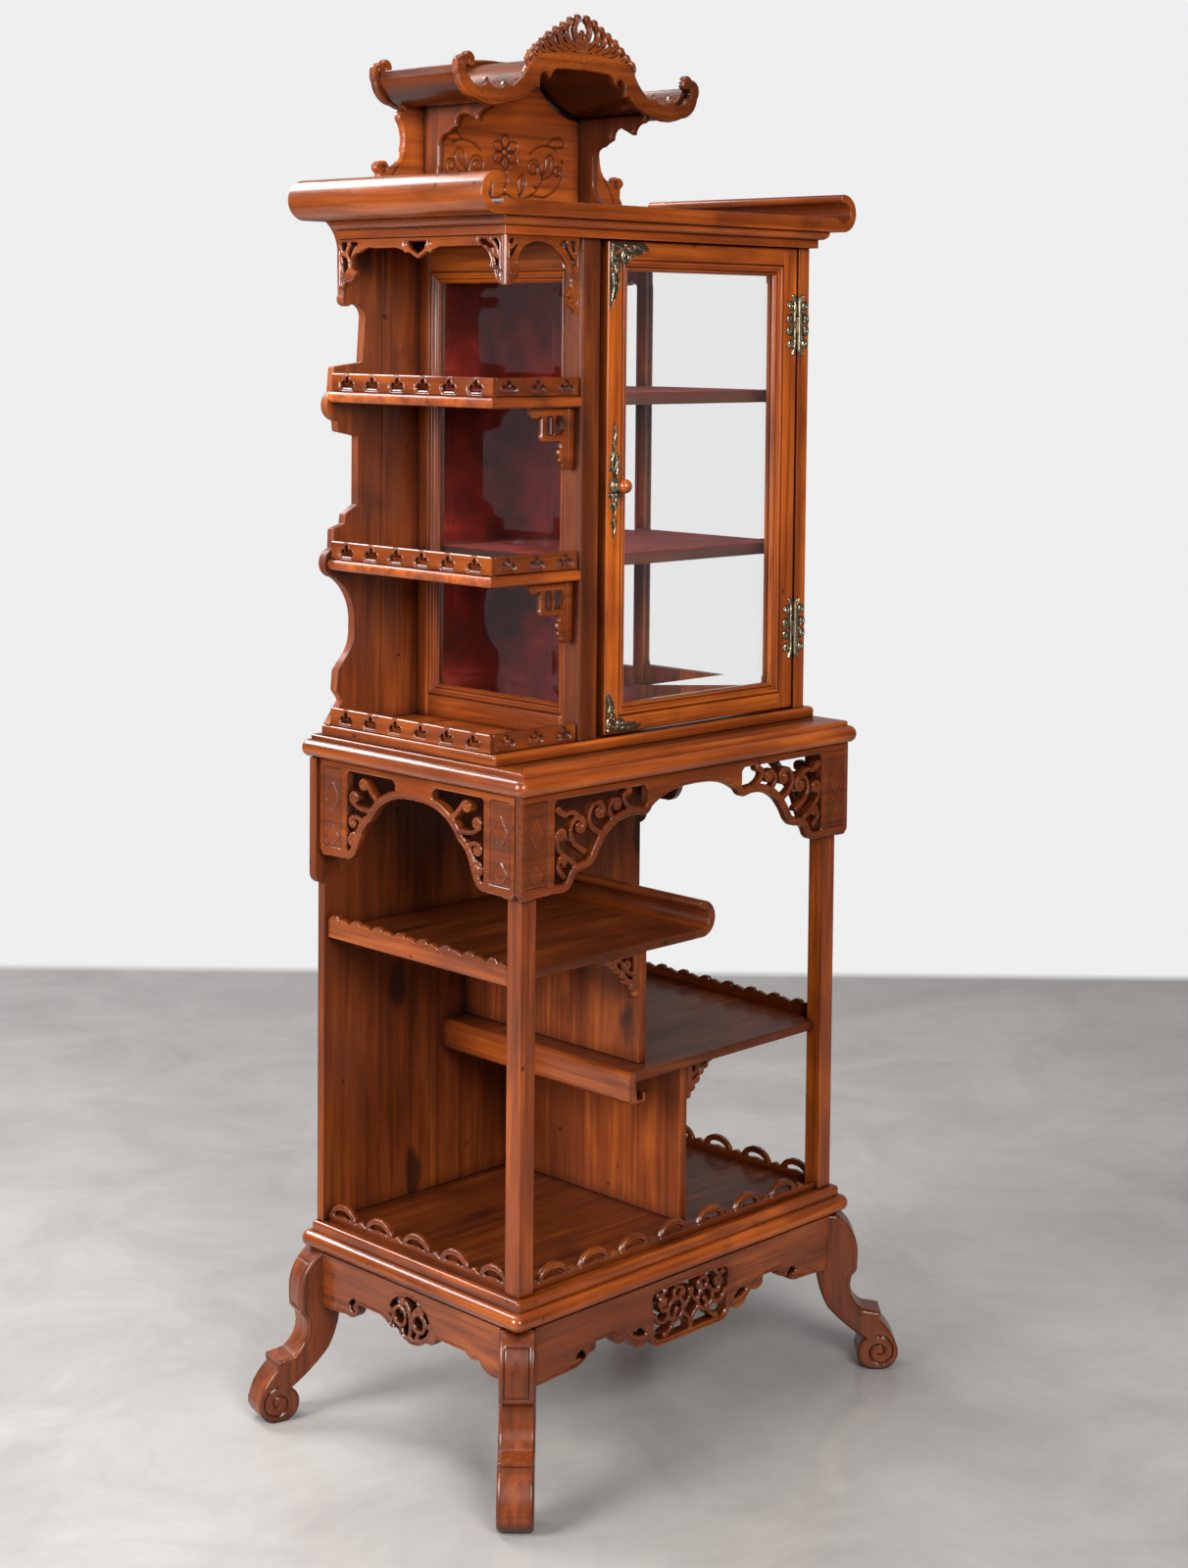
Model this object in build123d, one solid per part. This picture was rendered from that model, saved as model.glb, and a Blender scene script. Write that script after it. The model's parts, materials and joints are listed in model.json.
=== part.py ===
from build123d import *
import math
import os

os.makedirs("parts", exist_ok=True)

# An East Asian display cabinet: a shrine roof over a glazed case with an open bay, on a four-legged
# stand. X runs to the right along the front, Y to the back, Z up. Millimetres. The pieces are drawn
# about the middle of the stand, and all of them are moved at the end so that the origin is the middle
# of the whole cabinet's footprint, on the floor.

# Stand
stand_width = 630.8          # over the outer faces of the two front posts
stand_depth = 403.6
post_size = 26.5
leg_height = 231.0
leg_width = 48.0
leg_inset = 36.0             # how far a leg's top reaches in from the stand's corner
front_leg_turn = 45.0        # degrees outwards from the side direction
back_leg_turn = 15.0
apron_thickness = 18.0
apron_out = 15.2             # aprons stand this far outside the post faces
base_torus = 23.0
base_torus_out = 22.5
base_step = 14.0
base_step_out = 10.0
moulding_width = 60.0        # width in plan of each mitred length
mitre_gap = 0.1              # each length stops this far short of its mitre
floor_board = 12.0
floor_board_inset = 6.0
post_height = 658.0
peg_radius = 4.0
peg_length = 12.0
peg_proud = 0.8

# Waist and plinth between stand and upper case
waist_torus = 24.0
waist_torus_out = 24.5
waist_step = 7.0
waist_step_out = 13.0
waist_board = 12.0
plinth_height = 15.0
plinth_out = 5.6             # beyond the posts' outer faces, left and right
plinth_front_inset = 46.8    # behind the posts' front faces
plinth_back_inset = 1.8
waist_board_rebate = 15.0    # how far the waist's mitred lengths lap its board

# Lower back boards and spandrels
back_board = 14.0
back_board_inset = 7.8       # the lower back boards' front face, ahead of the stand's back
back_board_side = 3.0        # boards stand this far outside the posts
back_wing = 16.0             # extra width beside the spandrels
back_wing_height = 161.0
back_seams = (-120.0, 55.0, 230.0)
seam_gap = 0.4               # open joint between two planks of a back
spandrel_thickness = 13.0
spandrel_drop = 135.0
spandrel_plaque = 57.0
spandrel_crown = 21.0        # wood left above the front arch
side_spandrel_crown = 33.0

# Scroll shelves and partitions of the stand
scroll_up_level = 683.0
scroll_up_thickness = 12.0
scroll_up_inset = 36.8       # front edge behind the stand's front
scroll_up_end = 72.0         # x of the roll's axis
scroll_up_radius = 26.0
scroll_up_flat = 15.0        # flat wood between the seam and the roll
scroll_down_level = 515.0
scroll_down_thickness = 13.0
scroll_down_inset = 14.8
scroll_down_end = 97.0       # left of the middle
scroll_down_drop = 43.0
scroll_down_curl = 19.0
scroll_down_lip = 4.0        # thickness of the curl's small square lip
partition_thickness = 14.0
partition_upper_x = -51.0
partition_upper_inset = 5.0  # behind the front edge of the shelf that it carries
partition_lower_x = 43.0
partition_lower_inset = 35.0
partition_bracket = 12.0
shelf_gallery = 8.0
shelf_gallery_inset = 3.0
shelf_gallery_low = 13.0
shelf_gallery_high = 21.0
shelf_wave = 46.0

# Base gallery
gallery_thickness = 8.0
gallery_inset = 7.0
gallery_rail = 10.0
gallery_top = 28.0
loop_width = 50.0
loop_pitch = 77.5
gallery_shift = 12.0         # the front gallery's loops stand this far left of the middle

# Upper case
carcass_height = 672.0
case_front_inset = 7.0       # behind the plinth's front edge
case_right_inset = 17.0
case_back_inset = 18.0       # front face of the upper back boards, ahead of the plinth's back
upper_back_board = 14.0
upper_seams = (-228.0, -50.0, 130.0)
vitrine_left = 162.0         # outside of the glazed case, left of the middle
front_post_width = 34.0
front_post_depth = 34.0
right_post_width = 23.0
right_post_depth = 26.0
back_post_size = 18.0
wall_thickness = 18.0
case_rail_low = 33.0
case_rail_high = 44.0
side_moulding = 14.0
side_rear_stile = 27.0
glass_thickness = 4.0
lining_thickness = 1.5
case_shelf = 17.0
case_shelf_low_level = 1216.0
case_shelf_high_level = 1437.0
stop_thickness = 12.0
stop_width = 23.0
stop_gap = 0.5

# Open bay beside the glazed case
bay_side_inset = 2.0         # outside of the galleries, inside the plinth's left edge
bay_front_inset = 4.0        # galleries behind the case's front
bay_shelf = 15.0
bay_shelf_out = 6.0
bay_shelf_low_top = 1203.0
bay_shelf_high_top = 1434.5
bay_gallery = 25.0
bay_gallery_thickness = 7.0
trefoil_pitch = 52.0
bay_bracket = 9.0
bay_bracket_inset = 11.5     # behind the case's front
bay_bracket_width = 80.0
bay_bracket_height = 83.0
fret_thickness = 8.0
fret_side_inset = 4.0        # inside the cornice fillet's left edge
fret_front_inset = 1.0
fret_rail = 13.0
fret_post_gap = 14.0         # between the front fret and the glazed case
fret_pendant_shift = 1.5     # the side fret's pendant hangs this far behind its middle

# Cornice and top
cornice_fillet = 12.0
cornice_fillet_out = 8.0     # beyond the case's right side
cornice_fillet_front_out = 10.0
cornice_ovolo = 12.0
cornice_ovolo_out = 12.0     # beyond the fillet
slab_thickness = 20.0
slab_front_out = 9.0         # beyond the ovolo
slab_back_out = 16.0         # behind the upper back boards
roll_axis_out = 21.0         # axis of the slab's rolled ends, beyond the ovolo
roll_radius = 27.5
roll_wall = 12.5

# Shrine
shrine_back_inset = 7.0      # the shrine's back panel, ahead of the upper back boards
shrine_board = 12.0
shrine_half = 160.0          # outside of the side panels
shrine_depth = 172.0         # front of the front gable to the back of the back panel
gable_thickness = 12.0
roof_board = 12.0
eave_lift = 150.0            # underside of the eaves above the top slab at the side panels
wing_reach = 84.0            # how far the back panel's wings stand out beside the side panels
crest_foot = 74.0            # foot of the crest above the eaves, at the middle
crest_thickness = 9.0
crest_inset = 1.0            # behind the gable's face

# Door
door_left = 112.5            # left of the middle
door_hinge_gap = 4.0
door_sill_gap = 3.5
door_head_gap = 1.5
door_thickness = 22.0
door_stile = 31.0
door_moulding = 13.0
door_moulding_depth = 8.0
door_rail_trim_low = 5.5     # the bottom rail is this much narrower than the stiles
door_rail_trim_high = 3.5
glass_rebate = 1.0           # glass behind the moulding's back edge
plate = 1.4                  # thickness of every brass plate
hinge_leaf = 22.0
hinge_height = 88.0
hinge_low_level = 1091.0
hinge_high_level = 1532.5
knuckle_height = 36.96       # of the hinge's three-part knuckle
knuckle_radius = 2.8
pin_radius = 1.2
running_fit = 0.05
knuckle_gap = 0.3
escutcheon_width = 22.0
escutcheon_height = 154.0
knob_level = 1313.0
knob_reach = 33.0
knob_radius = 9.5
knob_neck = 4.0
knob_rose = 8.0
spindle_radius = 3.0
cam_length = 28.0
cam_width = 8.0
cam_thickness = 3.0
cam_gap = 0.7                # between the door stop's back and the cam
corner_mount_width = 75.0
corner_mount_height = 90.0
corner_mount_inset = 2.0     # from the door's edges

# Levels and faces that follow from the sizes above
half_width = stand_width / 2
half_depth = stand_depth / 2
back_board_face = half_depth - back_board_inset
scroll_up_front = half_depth - scroll_up_inset
scroll_down_front = half_depth - scroll_down_inset
partition_upper_front = scroll_up_front - partition_upper_inset
partition_lower_front = scroll_down_front - partition_lower_inset
plinth_half_width = half_width + plinth_out
plinth_front = half_depth - plinth_front_inset
plinth_back = half_depth - plinth_back_inset
case_front = plinth_front - case_front_inset
case_right = plinth_half_width - case_right_inset
case_back = plinth_back - case_back_inset
bay_half_width = plinth_half_width - bay_side_inset
bay_front = case_front - bay_front_inset
cornice_fillet_half = case_right + cornice_fillet_out
cornice_fillet_front = case_front + cornice_fillet_front_out
cornice_ovolo_half = cornice_fillet_half + cornice_ovolo_out
cornice_ovolo_front = cornice_fillet_front + cornice_ovolo_out
fret_left = cornice_fillet_half - fret_side_inset
fret_front = cornice_fillet_front - fret_front_inset
slab_front = cornice_ovolo_front + slab_front_out
slab_back = case_back + upper_back_board + slab_back_out
roll_axis = cornice_ovolo_half + roll_axis_out
shrine_back_y = case_back - shrine_back_inset
gable_front = shrine_back_y + shrine_board - shrine_depth
base_torus_top = leg_height + base_torus
floor_level = base_torus_top + base_step
waist_level = floor_level + post_height
waist_torus_top = waist_level + waist_torus
plinth_level = waist_torus_top + waist_step
case_floor = plinth_level + plinth_height
case_top = case_floor + carcass_height
fillet_top = case_top + cornice_fillet
slab_level = fillet_top + cornice_ovolo
slab_top = slab_level + slab_thickness
inner_left = -vitrine_left + wall_thickness
inner_right = case_right - wall_thickness
right_post_left = case_right - right_post_width
door_right = right_post_left - door_hinge_gap
hinge_x = right_post_left - door_hinge_gap / 2
hinge_y = -case_front - knuckle_radius
hinge_levels = (hinge_low_level, hinge_high_level)
case_shelf_levels = (case_shelf_low_level, case_shelf_high_level)
bay_shelf_tops = (bay_shelf_low_top, bay_shelf_high_top)
door_bottom = case_floor + door_sill_gap
door_top = case_top - door_head_gap
door_back = -case_front + door_thickness
stop_front = door_back + stop_gap
stop_back = stop_front + stop_thickness
opening_left = -door_left + door_stile + door_moulding
opening_right = door_right - door_stile - door_moulding
opening_low = door_bottom + door_stile + door_moulding - door_rail_trim_low
opening_high = door_top - door_stile - door_moulding + door_rail_trim_high
knob_x = -door_left + door_stile / 2 - 1.0
cam_y = stop_back + cam_gap

parts = {}


def add(name, *shapes):
    parts[name] = Compound([solid for shape in shapes for solid in shape.solids()])


def block(x, y, z):
    """A box from its three (low, high) pairs."""
    low, high = zip(x, y, z)
    size = [b - a for a, b in zip(low, high)]
    return Pos(*low) * Box(*size, align=(Align.MIN, Align.MIN, Align.MIN))


def outline(start, *steps):
    """A flat face in XY: a step is a point for a straight run, or a (through, end) pair for an arc."""
    edges, at = [], start
    for step in steps:
        if isinstance(step[0], tuple):
            edges.append(ThreePointArc(at, step[0], step[1]))
            at = step[1]
        else:
            edges.append(Line(at, step))
            at = step
    if math.dist(at, start) > 1e-6:
        edges.append(Line(at, start))
    return Face(Wire(edges))


def mirrored(half):
    """Steps for the other side of the Y axis, walked back, for a run that ends on that axis."""
    start, steps = half[0], half[1:]
    points = [start] + [step[1] if isinstance(step[0], tuple) else step for step in steps]
    back = []
    for step, before in zip(reversed(steps), reversed(points[:-1])):
        before = (-before[0], before[1])
        back.append(((-step[0][0], step[0][1]), before) if isinstance(step[0], tuple) else before)
    return list(half[1:]) + back


def along_y(face, front, back):
    """Extrude a face drawn in (x, z) from y = front to y = back."""
    plane = Plane(origin=(0, back, 0), x_dir=(1, 0, 0), z_dir=(0, -1, 0))
    return extrude(plane.location * face, amount=back - front, dir=plane.z_dir)


def along_x(face, left, right):
    """Extrude a face drawn in (y, z) from x = left to x = right."""
    plane = Plane(origin=(left, 0, 0), x_dir=(0, 1, 0), z_dir=(1, 0, 0))
    return extrude(plane.location * face, amount=right - left, dir=plane.z_dir)


def along_z(face, low, high):
    """Extrude a face drawn in (x, y) from z = low to z = high."""
    return extrude(Pos(0, 0, low) * face, amount=high - low, dir=(0, 0, 1))


def ovals(*places):
    """Flat faces of pierced holes: each is (x, y, length, width, angle)."""
    return [Pos(x, y) * Rot(0, 0, angle) * Ellipse(length / 2, width / 2).face()
            for x, y, length, width, angle in places]


def pierced(face, holes):
    for hole in holes:
        face = face - hole
    return face.face() if len(face.faces()) == 1 else face


def round_slab(x, y, z, corner, low_edge, high_edge):
    """A slab with rounded corners in plan and rounded lower and upper edges."""
    slab = block(x, y, z)
    slab = fillet(slab.edges().filter_by(Axis.Z), corner)
    if low_edge:
        slab = fillet(slab.faces().sort_by(Axis.Z)[0].edges(), low_edge)
    return fillet(slab.faces().sort_by(Axis.Z)[-1].edges(), high_edge)


def mitres(x, y, width):
    """The plan shapes of four mitred lengths around the rectangle x by y: front, right, back, left."""
    (x0, x1), (y0, y1) = x, y
    outer = [(x0, y0), (x1, y0), (x1, y1), (x0, y1)]
    inner = [(x0 + width, y0 + width), (x1 - width, y0 + width),
             (x1 - width, y1 - width), (x0 + width, y1 - width)]
    open_joint = [(mitre_gap, 0), (0, mitre_gap), (-mitre_gap, 0), (0, -mitre_gap)]
    sides = []
    for i, (dx, dy) in enumerate(open_joint):
        j = (i + 1) % 4
        near = [(a + dx, b + dy) for a, b in (outer[i], inner[i])]
        far = [(a - dx, b - dy) for a, b in (outer[j], inner[j])]
        sides.append(outline(near[0], far[0], far[1], near[1]))
    return sides


def leg_plane(x_side, y_side):
    """The upright plane of a leg's profile, through its corner of the stand."""
    turn = math.radians(front_leg_turn if y_side < 0 else back_leg_turn)
    out = (x_side * math.cos(turn), y_side * math.sin(turn), 0)
    return Plane(origin=(x_side * half_width, y_side * half_depth, 0), x_dir=out, z_dir=(out[1], -out[0], 0))


def leg(x_side, y_side):
    """A knee, a thin ankle and a scrolled foot, drawn as (distance out from the corner, height)."""
    profile = outline(
        (8, leg_height), ((32, leg_height - 24), (41, 172)), (40, 148), (33, 140),
        ((33.5, 110), (50, 90)), (76, 86), (75, 74), ((93, 52), (102, 27)), ((94.4, 7.6), (76, 0)), (66, 0),
        ((41.5, 24.5), (53.5, 45.6)), ((24, 66.5), (-3, 93)), ((-14, 118), (-20, 150)),
        (-leg_inset, 168), (-leg_inset, leg_height))
    return extrude(leg_plane(x_side, y_side).location * profile, amount=leg_width / 2, both=True)


def leg_slots():
    """The room that the legs take between the aprons."""
    slots = []
    for x_side in (-1, 1):
        for y_side in (-1, 1):
            slot = Pos(0, leg_height) * Rectangle(2 * leg_inset, 3 * leg_height).face()
            plane = leg_plane(x_side, y_side)
            slots.append(extrude(plane.location * slot, amount=leg_width / 2, both=True))
    return slots


def apron_front_face():
    """Scalloped apron: a hanging cartouche, a small scroll each side of it and one at each leg."""
    top, end = leg_height, half_width + apron_out
    half = [(end, top), (end, top - 80), (232, top - 77), ((212, top - 73), (198, top - 63)),
            ((188, top - 61), (186, top - 51.5)), (152, top - 51.5), ((147, top - 65), (128, top - 63)),
            (116, top - 73), ((99, top - 84), (84, top - 75)), (80, top - 79),
            ((72, top - 90), (58, top - 93)), (0, top - 93)]
    face = outline(*([half[0]] + mirrored(half)))
    side = [(26, top - 55, 26, 18, 70), (52, top - 40, 18, 12, 40), (56, top - 66, 22, 10, 110),
            (12, top - 26, 16, 10, 0), (40, top - 21, 20, 9, -15), (14, top - 80, 14, 9, 0),
            (40, top - 80, 14, 8, 10), (103, top - 62, 26, 11, 20), (215, top - 61, 14, 7, 30)]
    holes = side + [(-x, z, length, width, -angle) for x, z, length, width, angle in side]
    return pierced(face, ovals(*holes))


def apron_side_face():
    """Side apron in (y, z): an oval cartouche in the middle, a hook by the back leg."""
    top, end = leg_height, half_depth + apron_out
    run = [(-end, top), (-end, top - 76), (-182, top - 70), ((-158, top - 70), (-142, top - 58)),
           (-127, top - 61), (-114, top - 54), (-58, top - 54), ((-50, top - 65), (-36, top - 65)),
           ((-2, top - 76), (22, top - 62)), (34, top - 65), (47, top - 57), (57, top - 54), (105, top - 54),
           ((108, top - 70), (128, top - 74)), (150, top - 77), (end, top - 79), (end, top)]
    holes = ((-28, top - 42, 34, 14, 80), (-4, top - 44, 32, 15, 95), (22, top - 42, 30, 13, 105),
             (14, top - 19, 18, 7, -20), (-18, top - 20, 20, 7, 15), (116, top - 57, 15, 9, 40))
    return pierced(outline(*run), ovals(*holes))


def pegs(x_face, y_places, z_places, side):
    """Dowel heads through a side apron, a little proud of its face."""
    shapes = []
    for y in y_places:
        for z in z_places:
            middle = side * (x_face + peg_proud - peg_length / 2)
            shapes.append(Pos(middle, y, z) * Rot(0, 90, 0) * Cylinder(peg_radius, peg_length))
    return shapes


def stand_base():
    for x_side, x_name in ((-1, "left"), (1, "right")):
        for y_side, y_name in ((-1, "front"), (1, "back")):
            add(f"leg_{y_name}_{x_name}", leg(x_side, y_side))

    slots = leg_slots()
    x_face, y_face = half_width + apron_out, half_depth + apron_out
    peg_places = (half_depth - 44, ), (leg_height - 28, leg_height - 60)
    left_pegs = pegs(x_face, *peg_places, -1)
    right_pegs = pegs(x_face, *peg_places, 1)
    front = along_y(apron_front_face(), -y_face, -y_face + apron_thickness)
    back_face = outline((-x_face, leg_height), (-x_face, leg_height - 62), (x_face, leg_height - 62),
                        (x_face, leg_height))
    back = along_y(back_face, y_face - apron_thickness, y_face)
    left = along_x(apron_side_face(), -x_face, -x_face + apron_thickness)
    right = along_x(apron_side_face(), x_face - apron_thickness, x_face)
    for slot in slots:
        front, back, left, right = front - slot, back - slot, left - slot, right - slot
    for peg in left_pegs + right_pegs:
        left, right = left - peg, right - peg
    add("apron_front", front)
    add("apron_back", back)
    add("apron_left", left)
    add("apron_right", right)
    add("apron_pegs", *left_pegs, *right_pegs)

    torus_x, torus_y = half_width + base_torus_out, half_depth + base_torus_out
    step_x, step_y = half_width + base_step_out, half_depth + base_step_out
    ring = round_slab((-torus_x, torus_x), (-torus_y, torus_y), (leg_height, base_torus_top),
                      base_torus / 2 + 1, base_torus / 2 - 0.1, base_torus / 2 - 0.1)
    ring += round_slab((-step_x, step_x), (-step_y, step_y), (base_torus_top - 1, floor_level), 5, 0, 5)
    open_x, open_y = torus_x - moulding_width, torus_y - moulding_width
    board_x, board_y = half_width - floor_board_inset, half_depth - floor_board_inset
    board = block((-board_x, board_x), (-board_y, board_y), (floor_level - floor_board, floor_level))
    ring -= block((-open_x, open_x), (-open_y, open_y), (leg_height, floor_level))
    ring -= board
    sides = mitres((-torus_x, torus_x), (-torus_y, torus_y), moulding_width)
    add("base_moulding", *[ring & along_z(side, leg_height, floor_level) for side in sides])
    add("base_floor", board)


def loop_gallery(length, centre):
    """A low rail with half-round pierced loops, drawn from -length/2 to length/2."""
    half = length / 2
    count = int((length - loop_width) // loop_pitch) + 1
    places = [centre + loop_pitch * (i - (count - 1) / 2) for i in range(count)]
    steps, holes = [(-half, 0), (-half, gallery_rail)], []
    for x in places:
        steps += [(x - loop_width / 2, gallery_rail), ((x, gallery_top), (x + loop_width / 2, gallery_rail))]
        hole = loop_width / 2 - 9
        holes.append(outline((x - hole, gallery_rail), ((x, gallery_top - 7), (x + hole, gallery_rail)),
                             ((x, gallery_rail + 3), (x - hole, gallery_rail))))
    steps += [(half, gallery_rail), (half, 0)]
    return pierced(outline(*steps), holes)


def base_gallery():
    outer_x = half_width - gallery_inset
    front_face = -half_depth + gallery_inset
    side_front, side_back = -half_depth + post_size, back_board_face
    between = stand_width - 2 * post_size
    across = Pos(0, floor_level) * loop_gallery(between, -gallery_shift)
    front = along_y(across, front_face, front_face + gallery_thickness)
    side = Pos((side_front + side_back) / 2, floor_level) * loop_gallery(side_back - side_front, 0)
    left = along_x(side, -outer_x, -outer_x + gallery_thickness)
    right = along_x(side, outer_x - gallery_thickness, outer_x)
    add("base_gallery", front, left, right)


def posts_and_back():
    for side, name in ((-1, "left"), (1, "right")):
        x = sorted((side * half_width, side * (half_width - post_size)))
        y = (-half_depth, -half_depth + post_size)
        add(f"lower_post_{name}", block(x, y, (floor_level, waist_level)))

    edge, wing = half_width + back_board_side, half_width + back_board_side + back_wing
    wing_low = waist_level - back_wing_height
    half = [(wing, waist_level), (wing, wing_low), ((wing - 4, wing_low - 11), (edge, wing_low - back_wing)),
            (edge, floor_level), (0, floor_level)]
    face = outline(*([half[0]] + mirrored(half)))
    board = along_y(face, back_board_face, back_board_face + back_board)
    add("lower_back_boards", *cut_planks(board, back_seams))


def cut_planks(board, seams):
    """Split a board into planks at the given x, with a fine open joint between them."""
    box = board.bounding_box()
    edges = [box.min.X - 1] + list(seams) + [box.max.X + 1]
    planks = []
    for left, right in zip(edges, edges[1:]):
        across = (left + seam_gap / 2, right - seam_gap / 2)
        cell = block(across, (box.min.Y, box.max.Y), (box.min.Z, box.max.Z))
        planks.append(board & cell)
    return planks


def wave_gallery(length):
    """A low board with a scalloped top, drawn from 0 to length."""
    count = max(2, round(length / shelf_wave))
    pitch = length / count
    steps = [(0, 0), (0, shelf_gallery_low)]
    for i in range(count):
        x = i * pitch
        steps += [((x + pitch * 0.3, shelf_gallery_high), (x + pitch * 0.62, shelf_gallery_low + 4)),
                  (x + pitch, shelf_gallery_low)]
    return outline(*steps, (length, 0))


def scroll_shelves():
    outer = half_width - shelf_gallery_inset
    edge = outer - shelf_gallery

    # Upper shelf: a board from the left side, rolled up at its right end.
    level, low = scroll_up_level, scroll_up_level - scroll_up_thickness
    depth = (-scroll_up_front, back_board_face)
    seam = scroll_up_end - scroll_up_flat
    add("shelf_upper", block((-edge, seam), depth, (low, level)))
    axis = (scroll_up_end, low + scroll_up_radius)
    inner = scroll_up_radius - scroll_up_thickness
    lip = scroll_up_thickness / 2
    roll = outline(
        (seam, low), (axis[0], low),
        ((axis[0] + scroll_up_radius, axis[1]), (axis[0], axis[1] + scroll_up_radius)),
        ((axis[0] - lip, axis[1] + scroll_up_radius - lip), (axis[0], axis[1] + inner)),
        ((axis[0] + inner, axis[1]), (axis[0], level)), (seam, level))
    add("shelf_upper_roll", along_y(roll, *depth))

    # Lower shelf: a board from the right side, turned down at its left end into a small square curl.
    top, under = scroll_down_level, scroll_down_level - scroll_down_thickness
    board = block((-scroll_down_end + scroll_down_thickness, edge), (-scroll_down_front, back_board_face),
                  (under, top))
    corner = half_width - post_size
    board -= block((corner, edge), (-scroll_down_front, -half_depth + post_size), (under, top))
    add("shelf_lower", board)
    left, low, lip = -scroll_down_end, top - scroll_down_drop, scroll_down_lip
    wall = left + scroll_down_thickness
    tip = wall + scroll_down_curl
    curl = outline(
        (wall, top), (wall, low + 19), (wall + 2, low + 19), (wall + 2, low + lip),
        (tip - lip - 1, low + lip), (tip - lip - 1, low + 13), (tip, low + 13), (tip, low), (left + 6, low),
        ((left + 1.5, low + 2), (left, low + 7)), (left, top - 7), ((left + 2, top - 2), (left + 7, top)))
    add("shelf_lower_drop", along_y(curl, -scroll_down_front, back_board_face))

    # Partitions carry the two shelves.
    x = (partition_upper_x, partition_upper_x + partition_thickness)
    add("partition_upper", block(x, (-partition_upper_front, back_board_face),
                                 (scroll_down_level, scroll_up_level - scroll_up_thickness)))
    x = (partition_lower_x, partition_lower_x + partition_thickness)
    add("partition_lower", block(x, (-partition_lower_front, back_board_face), (floor_level, under)))

    # Carved side galleries; the left one also ties the upper shelf to its post.
    y_front = -half_depth + post_size
    length = back_board_face - y_front
    left_side = Pos(y_front, level) * wave_gallery(length)
    left_side = along_x(left_side, -outer, -edge) + block((-outer, -edge), (y_front, back_board_face),
                                                         (level - scroll_up_thickness, level))
    right_side = Pos(y_front, top) * wave_gallery(length)
    right_side = along_x(right_side, edge, outer) + block((edge, outer), (y_front, back_board_face),
                                                         (under, top))
    add("shelf_galleries", left_side, right_side)

    # Carved brackets in the angle of each partition and the shelf it carries.
    shape = outline((0, 0), (65, 0), ((62, -12), (52, -12)), ((44, -24), (34, -23)), ((27, -42), (17, -43)),
                    ((10, -60), (0, -62)))
    shape = pierced(shape, ovals((15, -17, 16, 9, 45), (38, -9, 12, 5, 0), (8, -40, 13, 5, 90)))
    bracket = along_y(shape, 0, partition_bracket)
    upper = Pos(partition_upper_x, -partition_upper_front, scroll_up_level - scroll_up_thickness)
    lower = Pos(partition_lower_x + partition_thickness, -partition_lower_front, under)
    add("partition_brackets", upper * mirror(bracket, Plane.YZ), lower * bracket)


def spandrel_face(half_length, crown):
    """An arched, pierced board with a plaque at each end, drawn about the middle of its length."""
    top, bottom = 0, -spandrel_drop
    plaque = half_length - spandrel_plaque
    half = [(half_length, top), (half_length, bottom), (plaque + 6, bottom), (plaque - 9, bottom + 12),
            (plaque - 26, bottom + 20), ((plaque - 63, bottom + 59), (plaque * 0.505, bottom + 86)),
            (plaque * 0.44, bottom + 84), ((plaque * 0.24, -crown - 7), (0, -crown))]
    face = outline(*([half[0]] + mirrored(half)))
    side = [(plaque - 27, -78, 28, 15, 70), (plaque - 29, -44, 22, 17, 40), (plaque - 57, -42, 22, 15, -30),
            (plaque - 20, -20, 16, 9, 0), (plaque - 48, -17, 24, 8, 0), (plaque - 84, -30, 20, 10, -20),
            (plaque - 88, -13, 22, 6, 0)]
    holes = side + [(-x, z, length, width, -angle) for x, z, length, width, angle in side]
    return pierced(face, ovals(*holes))


def spandrels():
    out_x, out_y = half_width + spandrel_thickness, half_depth + spandrel_thickness
    face = Pos(0, waist_level) * spandrel_face(out_x, spandrel_crown)
    add("spandrel_front", along_y(face, -out_y, -half_depth))
    side_half = (half_depth + back_board_face) / 2
    middle = (back_board_face - half_depth) / 2
    face = Pos(middle, waist_level) * spandrel_face(side_half, side_spandrel_crown)
    add("spandrel_left", along_x(face, -out_x, -half_width))
    add("spandrel_right", along_x(face, half_width, out_x))


def waist_and_plinth():
    torus_x, torus_y = half_width + waist_torus_out, half_depth + waist_torus_out
    step_x, step_y = half_width + waist_step_out, half_depth + waist_step_out
    edge = waist_torus / 2 - 0.1
    ring = round_slab((-torus_x, torus_x), (-torus_y, torus_y), (waist_level, waist_torus_top),
                      waist_torus / 2 + 1, edge, edge)
    ring += round_slab((-step_x, step_x), (-step_y, step_y), (waist_torus_top - 1, plinth_level), 5, 0, 3)
    open_x, open_y = torus_x - moulding_width, torus_y - moulding_width
    board_x, board_y = open_x + waist_board_rebate, open_y + waist_board_rebate
    board = block((-board_x, board_x), (-board_y, board_y), (plinth_level - waist_board, plinth_level))
    ring -= block((-open_x, open_x), (-open_y, open_y), (waist_level, plinth_level))
    ring -= board
    sides = mitres((-torus_x, torus_x), (-torus_y, torus_y), moulding_width)
    add("waist_moulding", *[ring & along_z(side, waist_level, plinth_level) for side in sides])
    add("waist_board", board)
    add("upper_plinth", round_slab((-plinth_half_width, plinth_half_width), (-plinth_front, plinth_back),
                                   (plinth_level, case_floor), 4, 0, 5))


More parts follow.
